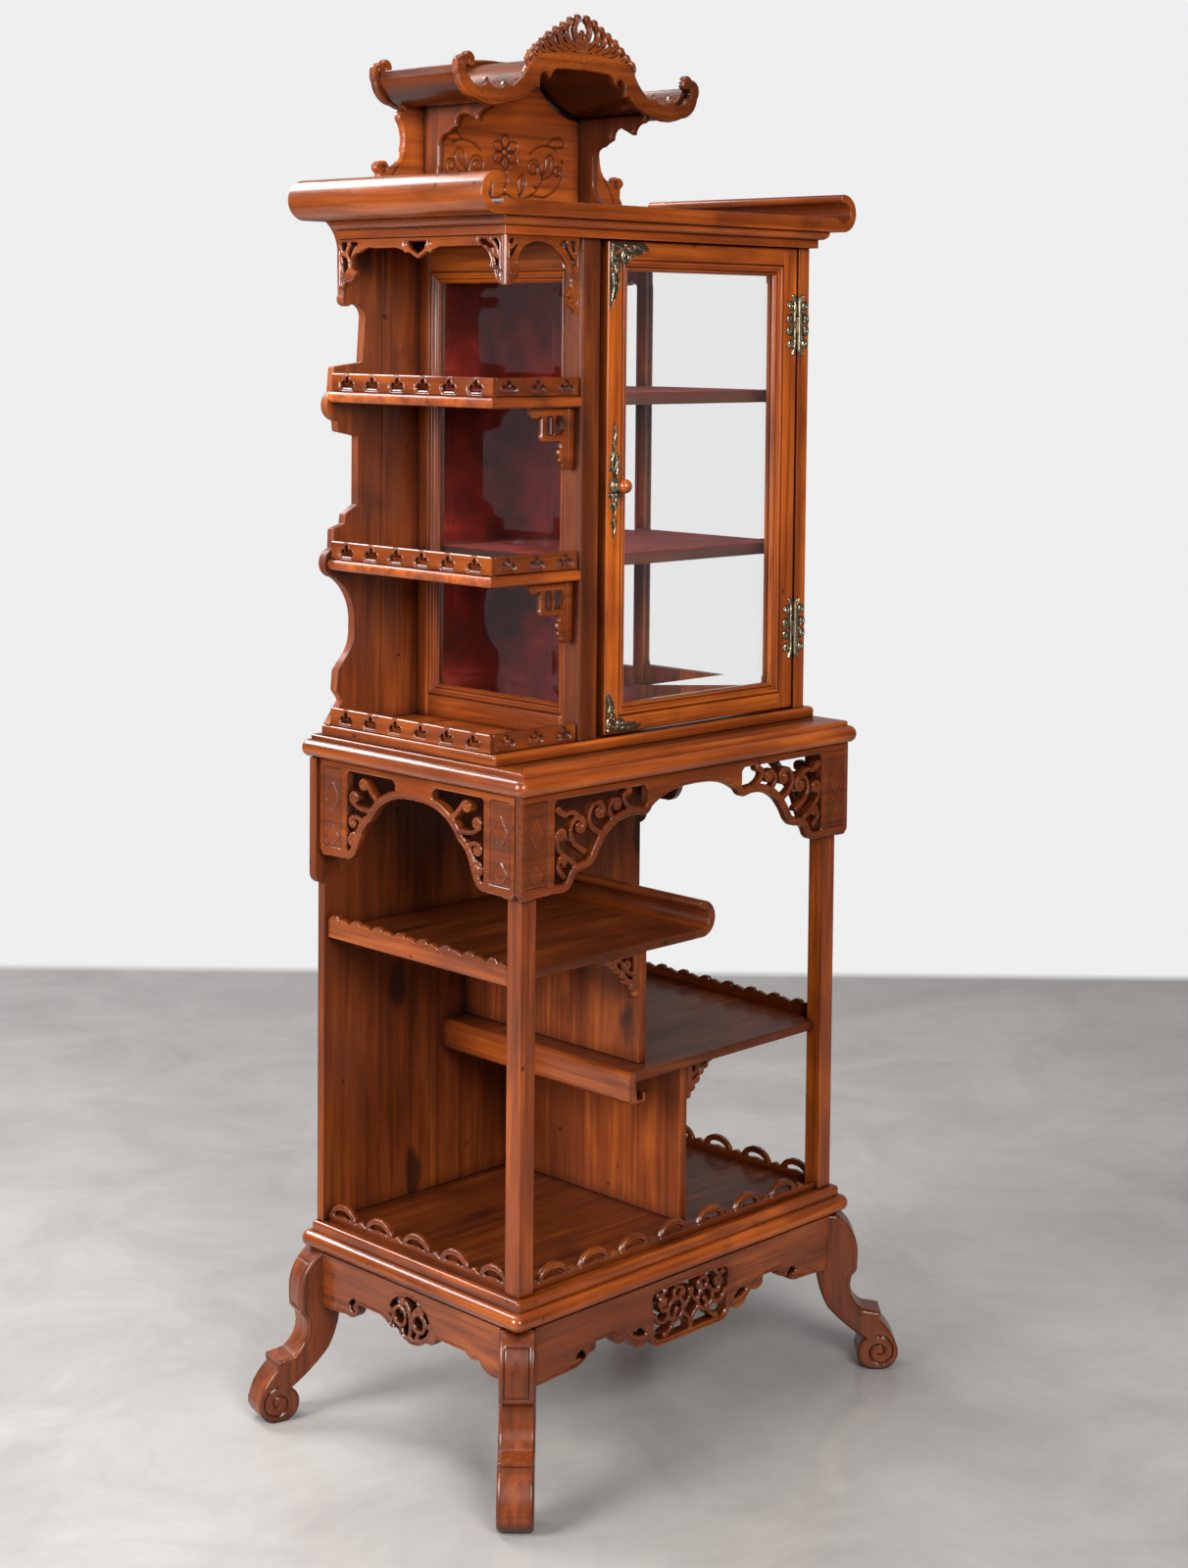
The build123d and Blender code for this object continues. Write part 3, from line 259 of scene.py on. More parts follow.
def standing(originX, originY, originZ, across, up=(0, 0, 1)):
    # A drawing plane: where its zero is (metres), and which way its two directions run.
    across, up = np.array(across, float), np.array(up, float)
    return np.array([originX, originY, originZ], float), across, up, np.cross(across, up)


def edgeRound(depth, radius):
    # How far a quarter-round edge of that radius lies below the face.
    t = np.clip(depth / radius, 0, 1)
    return radius * (1 - np.sqrt(np.clip(1 - (1 - t)**2, 0, 1)))


def carvedBoard(name, field, box, step, thickness, plane, relief=None, rounding=1.2, backRelief=False,
                wallRows=1, wallShape=None):
    # A grid over the drawing; corners near the outline slide onto it along the field's slope, the ones
    # outside are left out, and the face is lifted to the thickness plus the relief. A copy makes the back
    # and walls join the two along the free edges.
    (u0, u1), (v0, v1) = box
    nu, nv = max(2, int(round((u1 - u0) / step)) + 1), max(2, int(round((v1 - v0) / step)) + 1)
    u, v = np.meshgrid(np.linspace(u0, u1, nu), np.linspace(v0, v1, nv), indexing="ij")
    f = field(u, v)
    du, dv = (u1 - u0) / (nu - 1), (v1 - v0) / (nv - 1)
    gu, gv = np.gradient(f, du, dv)
    near = np.abs(f) < 0.5 * max(du, dv)
    steep = np.maximum(gu**2 + gv**2, 0.3)
    onU, onV = (u > u0 + 1e-6) & (u < u1 - 1e-6), (v > v0 + 1e-6) & (v < v1 - 1e-6)
    u = u - np.where(near & onU, f * gu / steep, 0)
    v = v - np.where(near & onV, f * gv / steep, 0)
    keep = near | (f < 0)
    number = np.arange(nu * nv).reshape(nu, nv)
    cells = np.stack([number[:-1, :-1], number[1:, :-1], number[1:, 1:], number[:-1, 1:]], axis=-1)
    cells = cells.reshape(-1, 4)
    flatU, flatV, flatKeep = u.ravel(), v.ravel(), keep.ravel()
    kept = flatKeep[cells]
    quads = cells[kept.sum(1) == 4]
    triangles = []
    for gone in range(4):
        lone = (kept.sum(1) == 3) & ~kept[:, gone]
        triangles.append(np.delete(cells[lone], gone, axis=1))
    triangles = np.concatenate(triangles)

    def areas(faces):
        x, y = flatU[faces], flatV[faces]
        return 0.5 * (x * np.roll(y, -1, 1) - y * np.roll(x, -1, 1)).sum(1)
    quads = quads[areas(quads) > 0.05 * step * step]
    triangles = triangles[areas(triangles) > 0.02 * step * step]
    used, packed = np.unique(np.concatenate([quads.ravel(), triangles.ravel()]), return_inverse=True)
    quads = packed[:quads.size].reshape(-1, 4)
    triangles = packed[len(packed) - triangles.size:].reshape(-1, 3)
    u, v, depth = flatU[used], flatV[used], np.where(near, 0, -f).ravel()[used]
    count = len(used)
    drop = edgeRound(depth, rounding)
    lift = relief(u, v, depth) if relief else np.zeros(count)
    front = thickness - drop + lift
    back = drop * 0.6 - (lift if backRelief else 0)

    edges = np.concatenate([quads[:, [i, (i + 1) % 4]] for i in range(4)]
                           + [triangles[:, [i, (i + 1) % 3]] for i in range(3)])
    code, reverse = edges[:, 0] * count + edges[:, 1], edges[:, 1] * count + edges[:, 0]
    free = edges[~np.isin(code, reverse)]

    origin, across, up, out = plane

    def place(a, b, w):
        return origin + mm * (np.outer(a, across) + np.outer(b, up) + np.outer(w, out))
    points = [place(u, v, front), place(u, v, back)]
    # carve value: deeper cuts score darker, the rounded rim and the back faces a set amount darker; wood
    # paints it as shade, brass as patina
    shadeAndPatina = np.clip(-lift / 2.2, 0, 1) + 0.35 * (drop > 0.3 * rounding)
    carve = [shadeAndPatina, np.full(count, 0.35)]
    walls, rim = [], np.unique(free)
    rows = [np.arange(count)]
    if wallRows > 1:
        normal = np.zeros((count, 2))
        a, b = free[:, 0], free[:, 1]
        direction = np.stack([v[b] - v[a], u[a] - u[b]], axis=1)
        direction /= np.maximum(np.hypot(*direction.T), 1e-9)[:, None]
        np.add.at(normal, a, direction)
        np.add.at(normal, b, direction)
        normal = normal[rim] / np.maximum(np.hypot(*normal[rim].T), 1e-9)[:, None]
        for row in range(1, wallRows):
            w = front[rim] + (back[rim] - front[rim]) * row / wallRows
            push = wallShape(u[rim], v[rim], w) if wallShape else np.zeros(len(rim))
            points.append(place(u[rim] + normal[:, 0] * push, v[rim] + normal[:, 1] * push, w))
            # undercut walls score darker: painted shade in wood, patina in brass
            carve.append(np.clip(-push / 2, 0, 1))
            lookup = np.zeros(count, int)
            lookup[rim] = 2 * count + (row - 1) * len(rim) + np.arange(len(rim))
            rows.append(lookup)
    rows.append(np.arange(count) + count)
    for above, below in zip(rows, rows[1:]):
        walls.append(np.stack([above[free[:, 1]], above[free[:, 0]], below[free[:, 0]], below[free[:, 1]]],
                              axis=1))
    allQuads = np.concatenate([quads, quads[:, ::-1] + count] + walls)
    allTriangles = np.concatenate([triangles, triangles[:, ::-1] + count])
    return makeMesh(name, np.concatenate(points), allQuads, allTriangles, np.concatenate(carve))


def softened(node, width, segments=2, dissolve=0.6):
    # The node's own shape with its flat triangles merged and its hard edges rounded.
    source = frame["nodes"][node]
    work = bmesh.new()
    work.from_mesh(source.data)
    bmesh.ops.remove_doubles(work, verts=work.verts, dist=2e-5)
    bmesh.ops.dissolve_limit(work, angle_limit=math.radians(dissolve), verts=work.verts, edges=work.edges)
    mesh = bpy.data.meshes.new(node + "_worn")
    work.to_mesh(mesh)
    work.free()
    shadeSmooth(mesh, 30)
    piece = newPiece(node + "_worn", mesh)
    bevel = piece.modifiers.new("edges", "BEVEL")
    bevel.width = width * mm
    bevel.segments = segments
    bevel.limit_method = "ANGLE"
    bevel.angle_limit = math.radians(40)
    bevel.harden_normals = True
    return piece


# Finishes.

def nodeOf(tree, kind, **values):
    # A shader node with its settings and its inputs by name (underscores for spaces).
    made = tree.nodes.new(kind)
    for name, value in values.items():
        plain = name.replace("_", " ")
        if hasattr(made, name) and name not in [socket.name for socket in made.inputs]:
            setattr(made, name, value)
        else:
            made.inputs[plain].default_value = value
    return made


def link(output, target):
    output.id_data.links.new(output, target)


def feed(*pairs):
    # Each pair is an input and what it gets: another node's socket or a plain value.
    for target, value in pairs:
        if isinstance(value, bpy.types.NodeSocket):
            link(value, target)
        else:
            target.default_value = value


def treeOf(*values):
    return next(value.id_data for value in values if isinstance(value, bpy.types.NodeSocket))


def blendColours(factor, first, second, mode="MIX"):
    mix = treeOf(factor, first, second).nodes.new("ShaderNodeMix")
    mix.data_type = "RGBA"
    mix.blend_type = mode
    mix.clamp_factor = True
    feed((mix.inputs[0], factor), (mix.inputs[6], first), (mix.inputs[7], second))
    return mix.outputs[2]


def mathOf(operation, first, second=0.0, clamp=False):
    step = treeOf(first, second).nodes.new("ShaderNodeMath")
    step.operation = operation
    step.use_clamp = clamp
    feed((step.inputs[0], first), (step.inputs[1], second))
    return step.outputs[0]


def times(first, second, clamp=False):
    return mathOf("MULTIPLY", first, second, clamp)


def plus(first, second, clamp=False):
    return mathOf("ADD", first, second, clamp)


def ramp(factor, *stops):
    made = treeOf(factor).nodes.new("ShaderNodeValToRGB")
    elements = made.color_ramp.elements
    while len(elements) < len(stops):
        elements.new(0.5)
    for element, (place, colour) in zip(elements, stops):
        element.position = place
        element.color = (*colour, 1) if len(colour) == 3 else colour
    link(factor, made.inputs[0])
    return made.outputs[0]


def addBump(shader, height, strength, distance):
    bump = nodeOf(treeOf(height), "ShaderNodeBump", Strength=strength, Distance=distance)
    link(height, bump.inputs["Height"])
    link(bump.outputs[0], shader.inputs["Normal"])


def newMaterial(name):
    material = bpy.data.materials.new(name)
    material.use_nodes = True
    tree = material.node_tree
    tree.nodes.clear()
    shader = tree.nodes.new("ShaderNodeBsdfPrincipled")
    out = tree.nodes.new("ShaderNodeOutputMaterial")
    tree.links.new(shader.outputs[0], out.inputs[0])
    return material, tree, shader


woodLook = {
    "deep": (0.032, 0.0058, 0.0014),     # grain lines, and the painted shade in recesses and on downward faces
    "body": (0.200, 0.0385, 0.0052),     # the polished red-brown
    "light": (0.460, 0.1060, 0.0110),    # rubbed, orange-brown
    "knot": (0.030, 0.0080, 0.0040),
    "grainSpread": 34.0,                 # how many times finer across the grain than along it
    "roughness": 0.34, "specular": 0.36, "coat": 0.26, "coatRoughness": 0.12,
    "bumpStrength": 0.5, "bumpDepth": 0.00025,
    # how strongly grain lines, pores and stains darken the wood, and how dark the painted shade in carved
    # recesses is
    "lineDark": 0.24, "poreDark": 0.4, "stainDark": 0.6, "recessDark": 0.9,
    "shadeReach": 0.024,                 # painted shade: how near another surface has to be for the colour to darken as if shaded
}
grainTurns = {"X": (0, 0, 0), "Y": (0, 0, -90), "Z": (0, 90, 0)}


def woodFinish(name, grain, tone=1.0, rub=0.4, carved=False, gloss=1.0, knots=1.0, under=0.0):
    # Grain is noise squeezed across the board; broad noise moves it between body and light tones, sparse
    # cells make knots and nail marks.
    # Carved recesses get painted shade, as do faces near other surfaces and, where asked, faces that look
    # down.
    look = woodLook
    material, tree, shader = newMaterial(name)
    place = nodeOf(tree, "ShaderNodeTexCoord").outputs["Object"]
    turn = nodeOf(tree, "ShaderNodeMapping")
    turn.inputs["Rotation"].default_value = [math.radians(a) for a in grainTurns[grain]]
    link(place, turn.inputs["Vector"])
    along = turn.outputs[0]

    def squeezed(spread):
        squeeze = nodeOf(tree, "ShaderNodeMapping")
        squeeze.inputs["Scale"].default_value = (1, spread, spread)
        link(along, squeeze.inputs["Vector"])
        return squeeze.outputs[0]

    def noiseAt(scale, detail=3.0, spread=1.0, distortion=0.0, roughness=0.55):
        noise = nodeOf(tree, "ShaderNodeTexNoise", Scale=scale, Detail=detail, Distortion=distortion,
                       Roughness=roughness)
        link(squeezed(spread), noise.inputs["Vector"])
        return noise.outputs[0]

    def marks(scale, spread, low, high, share):
        # Dark spots in a few of the cells of a wobbling cell pattern.
        cells = nodeOf(tree, "ShaderNodeTexVoronoi", Scale=scale, Randomness=1.0)
        wobble = nodeOf(tree, "ShaderNodeTexNoise", Scale=11.0, Detail=2.0)
        start = squeezed(spread)
        link(start, wobble.inputs["Vector"])
        bent = nodeOf(tree, "ShaderNodeMix")
        bent.data_type = "VECTOR"
        bent.inputs[0].default_value = 0.07
        link(start, bent.inputs[4])
        link(wobble.outputs[1], bent.inputs[5])
        link(bent.outputs[1], cells.inputs["Vector"])
        spot = ramp(cells.outputs["Distance"], (low, (1, 1, 1)), (high, (0, 0, 0)))
        chosen = nodeOf(tree, "ShaderNodeSeparateColor")
        link(cells.outputs["Color"], chosen.inputs[0])
        return times(spot, mathOf("GREATER_THAN", chosen.outputs[0], 1 - share))

    broad = noiseAt(3.4, 3.0, 1.7, 0.8)
    bands = noiseAt(2.6, 3.0, 9.0, 1.2)
    streaks = noiseAt(3.2, 4.0, look["grainSpread"], 0.35, 0.62)
    pores = noiseAt(34.0, 2.0, 22.0, 0.0, 0.8)
    figure = plus(times(bands, 0.40), times(streaks, 0.24))
    figure = plus(figure, times(broad, 0.36))

    def tuned(colour, amount=1.0):
        return tuple(c * tone * amount for c in colour)
    slide = 0.12 * rub
    colour = ramp(figure, (0.34 - slide, tuned(look["deep"], 1.6)), (0.45 - slide, tuned(look["body"], 0.75)),
                  (0.54 - slide, tuned(look["body"], 1.1)), (0.70 - slide, tuned(look["light"])))
    dark = (*tuned(look["deep"]), 1)
    lines = ramp(streaks, (0.38, (1, 1, 1)), (0.47, (0, 0, 0)))
    colour = blendColours(times(lines, look["lineDark"]), colour, dark)
    specks = ramp(pores, (0.27, (1, 1, 1)), (0.37, (0, 0, 0)))
    colour = blendColours(times(specks, look["poreDark"]), colour, dark)
    stain = ramp(noiseAt(5.2, 4.0, 1.3, 0.5), (0.60, (0, 0, 0)), (0.74, (1, 1, 1)))
    colour = blendColours(times(stain, look["stainDark"]), colour, dark)
    large = marks(5.0, 2.4, 0.04 * knots, 0.15 + 0.02 * (knots - 1), 0.3 * knots)
    knot = mathOf("MAXIMUM", times(large, 0.8), times(marks(30.0, 1.2, 0.07, 0.13, 0.22), 0.9))
    colour = blendColours(knot, colour, (*tuned(look["knot"]), 1))

    if carved:
        # painted shade in the carved recesses
        recess = nodeOf(tree, "ShaderNodeAttribute", attribute_name="carve").outputs["Fac"]
        colour = blendColours(times(recess, look["recessDark"], True), colour, dark)
    if under:
        # painted shade: faces that look down are darkened as if shaded
        normal = nodeOf(tree, "ShaderNodeSeparateXYZ")
        link(nodeOf(tree, "ShaderNodeNewGeometry").outputs["Normal"], normal.inputs[0])
        below = ramp(plus(normal.outputs[2], 1.0), (0.3, (1, 1, 1)), (0.6, (0, 0, 0)))
        colour = blendColours(times(below, under), colour, dark)
    # painted shade: the colour darkens where other surfaces are near, as if shaded
    shadeNearness = nodeOf(tree, "ShaderNodeAmbientOcclusion", samples=8, Distance=look["shadeReach"])
    shadow = ramp(shadeNearness.outputs["AO"], (0.25, (0.13, 0.10, 0.09)), (0.60, (0.62, 0.55, 0.52)),
                  (0.92, (1, 1, 1)))
    colour = blendColours(1.0, colour, shadow, "MULTIPLY")
    link(colour, shader.inputs["Base Color"])

    smear = noiseAt(7.0, 3.0, 1.6)
    roughness = plus(times(smear, 0.26), look["roughness"] / gloss - 0.13)
    roughness = plus(roughness, times(specks, 0.2), True)
    link(roughness, shader.inputs["Roughness"])
    shader.inputs["Specular IOR Level"].default_value = look["specular"] * gloss
    shader.inputs["Coat Weight"].default_value = look["coat"] * gloss
    shader.inputs["Coat Roughness"].default_value = look["coatRoughness"]

    height = mathOf("SUBTRACT", times(streaks, 0.6), times(specks, 0.4))
    height = mathOf("SUBTRACT", height, times(knot, 0.6))
    addBump(shader, height, look["bumpStrength"], look["bumpDepth"])
    return material


brassLook = {"metal": (0.46, 0.38, 0.26), "patina": (0.045, 0.036, 0.026), "roughness": 0.36,
             "bumpDepth": 0.0002}


def brassFinish(name):
    # Dark patina in the recesses, rubbed brass on the high places.
    look = brassLook
    material, tree, shader = newMaterial(name)
    place = nodeOf(tree, "ShaderNodeTexCoord").outputs["Object"]
    cloud = nodeOf(tree, "ShaderNodeTexNoise", Scale=90.0, Detail=4.0)
    link(place, cloud.inputs["Vector"])
    recess = nodeOf(tree, "ShaderNodeAttribute", attribute_name="carve").outputs["Fac"]
    worn = plus(times(recess, 0.9), times(cloud.outputs[0], 0.55), True)
    link(ramp(worn, (0.15, look["metal"]), (0.75, look["patina"])), shader.inputs["Base Color"])
    shader.inputs["Metallic"].default_value = 1.0
    rough = plus(times(cloud.outputs[0], 0.3), look["roughness"] - 0.12)
    link(rough, shader.inputs["Roughness"])
    addBump(shader, cloud.outputs[0], 0.4, look["bumpDepth"])
    return material


velvetLook = {"pile": (0.27, 0.018, 0.012), "worn": (0.10, 0.010, 0.009), "crest": (0.45, 0.05, 0.035),
              "sheen": 0.05, "bumpDepth": 0.0006}


def velvetFinish(name):
    # Crushed pile: slow warped noise lays the nap lighter or darker, fine noise is the pile itself.
    look = velvetLook
    material, tree, shader = newMaterial(name)
    place = nodeOf(tree, "ShaderNodeTexCoord").outputs["Object"]
    nap = nodeOf(tree, "ShaderNodeTexNoise", Scale=11.0, Detail=5.0, Distortion=1.4)
    pile = nodeOf(tree, "ShaderNodeTexNoise", Scale=900.0, Detail=2.0)
    for node in (nap, pile):
        link(place, node.inputs["Vector"])
    colour = ramp(nap.outputs[0], (0.35, look["worn"]), (0.62, look["pile"]), (0.75, look["crest"]))
    link(colour, shader.inputs["Base Color"])
    shader.inputs["Roughness"].default_value = 0.9
    shader.inputs["Specular IOR Level"].default_value = 0.2
    shader.inputs["Sheen Weight"].default_value = look["sheen"]
    shader.inputs["Sheen Roughness"].default_value = 0.4
    shader.inputs["Sheen Tint"].default_value = (1.0, 0.45, 0.4, 1)
    height = plus(times(nap.outputs[0], 2.0), pile.outputs[0])
    addBump(shader, height, 0.6, look["bumpDepth"])
    return material


def glassFinish(name):
    # Thin clear plate: mostly see-through, a clear reflection that grows at a glancing angle.
    material, tree, shader = newMaterial(name)
    out = [node for node in tree.nodes if node.type == "OUTPUT_MATERIAL"][0]
    shader.inputs["Base Color"].default_value = (0.985, 0.99, 0.988, 1)
    shader.inputs["Roughness"].default_value = 0.02
    shader.inputs["Transmission Weight"].default_value = 1.0
    shader.inputs["IOR"].default_value = 1.5
    shader.inputs["Specular Tint"].default_value = (0.35, 0.36, 0.38, 1)
    clear = nodeOf(tree, "ShaderNodeBsdfTransparent", Color=(0.93, 0.95, 0.95, 1))
    rays = nodeOf(tree, "ShaderNodeLightPath")
    mix = nodeOf(tree, "ShaderNodeMixShader")
    link(mathOf("MAXIMUM", rays.outputs["Is Shadow Ray"], rays.outputs["Is Diffuse Ray"]), mix.inputs[0])
    link(shader.outputs[0], mix.inputs[1])
    link(clear.outputs[0], mix.inputs[2])
    link(mix.outputs[0], out.inputs[0])
    return material


finishes = {
    "frontX": woodFinish("polished_wood_along_x", "X", 1.15, 0.4),
    "frontZ": woodFinish("polished_wood_upright", "Z", 0.95, 0.35),
    "sideY": woodFinish("polished_wood_along_y", "Y", 0.80, 0.3, gloss=1.35),
    "doorX": woodFinish("door_wood_along_x", "X", 1.15, 0.75),
    "doorZ": woodFinish("door_wood_upright", "Z", 1.3, 0.8),
    # painted shade: a darker copy of the post wood, where the front light on the left post is weaker
    "shadedPostZ": woodFinish("post_wood_painted_shade", "Z", 0.52, 0.2, gloss=0.65),
    "rightPostZ": woodFinish("right_post_wood", "Z", 1.05, 0.6, gloss=0.8),
    "boardX": woodFinish("dark_board_along_x", "X", 0.48, 0.15, gloss=0.75),
    "boardY": woodFinish("dark_board_along_y", "Y", 0.62, 0.1, gloss=1.1),
    "boardZ": woodFinish("back_board_wood", "Z", 0.80, 0.3, gloss=0.65, knots=2.6),
    "lowBoardZ": woodFinish("lower_board_wood", "Z", 0.62, 0.35, gloss=0.65, knots=3.2),
    "carvedX": woodFinish("carved_wood_along_x", "X", 0.80, 0.25, carved=True),
    "carvedY": woodFinish("carved_wood_along_y", "Y", 0.78, 0.25, carved=True, gloss=1.3),
    "carvedZ": woodFinish("carved_wood_upright", "Z", 0.72, 0.2, carved=True),
    "knobWood": woodFinish("knob_wood", "Y", 1.15, 0.6, gloss=1.3),
    # the roof's downward faces get painted shade
    "roofY": woodFinish("roof_wood", "Y", 0.72, 0.15, gloss=1.2, under=0.85),
    "panelX": woodFinish("engraved_panel_wood", "X", 1.2, 0.5, carved=True, gloss=0.75),
    "legWood": woodFinish("leg_wood", "Z", 0.76, 0.2, carved=True, gloss=0.95),
    "brass": brassFinish("aged_brass"), "velvet": velvetFinish("red_velvet"),
    "glass": glassFinish("bevelled_glass"),
}
print("finishes made")


# Small nodes that keep their own mesh.

keptFinish = {
    "apron_pegs": "boardY", "waist_board": "boardX", "door_stops": "boardZ", "case_linings": "velvet",
    "hinge_pins": "brass", "latch_cam": "brass",
}
for node, finish in keptFinish.items():
    thing = frame["nodes"][node]
    thing.data.materials.clear()
    thing.data.materials.append(finishes[finish])
print("frame dressed")


# Places taken from the frame, in millimetres.

def corners(node):
    low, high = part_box(node)
    return np.array(low) / mm, np.array(high) / mm


def facing(side, back, across=0.0, zero=0.0):
    # A drawing plane for a board: the side it faces, its back face and where the drawing's zero lies.
    if side == "front":
        return standing(across * mm, back * mm, zero * mm, (1, 0, 0))
    if side == "back":
        return standing(across * mm, back * mm, zero * mm, (-1, 0, 0))
    if side == "left":
        return standing(back * mm, across * mm, zero * mm, (0, -1, 0))
    return standing(back * mm, across * mm, zero * mm, (0, 1, 0))


def planeOf(node, face, zeroZ=0.0, zeroAcross=0.0):
    # A drawing plane on a node's back face, so that the drawing's thickness ends on its outer face.
    low, high = corners(node)
    axis = 1 if face in ("front", "back") else 0
    back = (high if face in ("front", "left") else low)[axis]
    across = -zeroAcross if face == "back" else zeroAcross
    return facing(face, back, across, zeroZ), high[axis] - low[axis]


baseLow, baseHigh = corners("base_moulding")
middleY = (baseLow[1] + baseHigh[1]) / 2
postLow, postHigh = corners("lower_post_left")
halfWidth = -postLow[0]
halfDepth = middleY - postLow[1]
legTop = corners("leg_front_left")[1][2]
floorLevel = corners("base_floor")[1][2]
waistLevel = postHigh[2]


def mirroredLine(half):
    # A half outline that ends on the middle line, walked back on the other side.
    half = np.asarray(half, float)
    return np.concatenate([half, flipped(half)[::-1][1:]])


def unionOf(*fields):
    return np.minimum.reduce(fields)


def cutOf(solid, *holes):
    return np.maximum.reduce([solid] + [-hole for hole in holes])


def pierced(solid, opening, lattice, overlap, *holes):
    # A board cut by its openings, with a lattice across them whose ends run a little into the edge.
    return np.maximum(unionOf(cutOf(solid, opening, *holes), np.maximum(lattice, opening - overlap)), solid)


def handed(sign, *drawings):
    # The drawings as they are, or mirrored for a piece of the other hand; a drawing may be a list of lines.
    if sign > 0:
        return drawings
    return tuple([flipped(line) for line in d] if isinstance(d, list) else flipped(d) for d in drawings)


def ovalField(u, v, x, y, length, width, angle):
    # The field of an ellipse, scaled so that it is near a true distance at its edge.
    c, s = math.cos(math.radians(angle)), math.sin(math.radians(angle))
    a, b = (u - x) * c + (v - y) * s, -(u - x) * s + (v - y) * c
    p, q = length / 2, width / 2
    r = np.sqrt((a / p)**2 + (b / q)**2) + 1e-9
    slope = np.sqrt((a / p**2)**2 + (b / q**2)**2) / r + 1e-9
    return (r - 1) / np.maximum(slope, 1e-3)


def scroll(*points, curl=None):
    # A strand's middle line: smooth through its points, then a spiral (x, y, radius, start, turns).
    line = smooth(points, 6)
    if curl:
        x, y, radius, start, turns = curl
        line = np.concatenate([line, spiral(x, y, radius, radius * 0.35, start, turns)])
    return line


def edgeLine(field, distance, width, depth):
    # A cut that runs at a fixed distance inside an outline.
    return -depth * bell(-field, distance, width)


# Legs.

legLook = {"step": 1.6, "rounding": 5.0, "panelDeep": 1.6, "panelHalf": 16.0,
          "panelLow": 153.0, "panelHigh": 215.0, "voluteTurns": 1.6, "thickness": 48.0, "wallRows": 30}


def legProfile():
    # Knee, thin ankle and scrolled foot, as distance out from the corner against height.
    h = legTop
    return trace((8, h), ((32, h - 24), (41, 172)), (40, 148), (33, 140), ((33.5, 110), (50, 90)), (76, 86),
                 (75, 74), ((93, 52), (102, 27)), ((94.4, 7.6), (76, 0)), (66, 0),
                 ((41.5, 24.5), (53.5, 45.6)), ((24, 66.5), (-3, 93)), ((-14, 118), (-20, 150)),
                 (-36, 168), (-36, h))


def buildLeg(node, xSide, ySide, turn):
    look = legLook
    profile = legProfile()
    out = np.array([xSide * math.cos(turn), ySide * math.sin(turn), 0])
    side = np.cross(out, (0, 0, 1))
    thickness = look["thickness"]
    corner = np.array([xSide * halfWidth, middleY + ySide * halfDepth, 0])
    origin = (corner - side * thickness / 2) * mm
    plane = (origin, out, np.array([0, 0, 1.0]), side)
    volute = spiral(74, 27, 24, 3, 100, -look["voluteTurns"])

    field = shapeOf(profile)

    def relief(u, v, depth):
        cut = groove(u, v, volute, 1.1, 2.4)
        bead = edgeLine(-depth, 7.5, 0.9, 0.7) * (v > 62)
        return cut + bead

    def wall(u, v, w):
        # On the knee's outer face a sunk line frames a flat panel; the step below it is undercut.
        across = np.abs(w - thickness / 2)
        onFace = softStep(u, 12, 20)
        panelLow, panelHigh, panelHalf = look["panelLow"], look["panelHigh"], look["panelHalf"]
        tall = softStep(v, panelLow - 1, panelLow + 1) * (1 - softStep(v, panelHigh - 1, panelHigh + 1))
        frameU = bell(across, panelHalf, 0.9) * tall
        frameV = (bell(v, panelLow, 1.3) + bell(v, panelHigh, 1.3)) * (across < panelHalf)
        lip = bell(v, 143, 2.2)
        footLine = bell(v, 80, 1.6) * 1.2
        sunk = np.clip(frameU + frameV, 0, 1) * look["panelDeep"]
        return -onFace * (sunk + (lip + footLine) * (across < 22))
    box = (profile.min(0)[0], profile.max(0)[0]), (0.0, legTop)
    piece = carvedBoard(node + "_carved", field, box, look["step"], thickness, plane, relief,
                        look["rounding"], True, look["wallRows"], wall)
    dress(piece, "legWood", node)


for xSide, xName in ((-1, "left"), (1, "right")):
    for ySide, yName, turn in ((-1, "front", 45), (1, "back", 15)):
        buildLeg(f"leg_{yName}_{xName}", xSide, ySide, math.radians(turn))
print("legs carved")


# Aprons under the stand.

apronLook = {"step": 1.5, "rounding": 2.2, "lineIn": 5.0, "lineDeep": 0.9, "strand": 3.6}


def strands(u, v, lines, *widths):
    return unionOf(*[local(u, v, line, 12, 50, lambda a, b, line=line: strandField(a, b, line, *widths))
                     for line in lines])


def bothWays(lines):
    return list(lines) + [flipped(line) for line in lines]


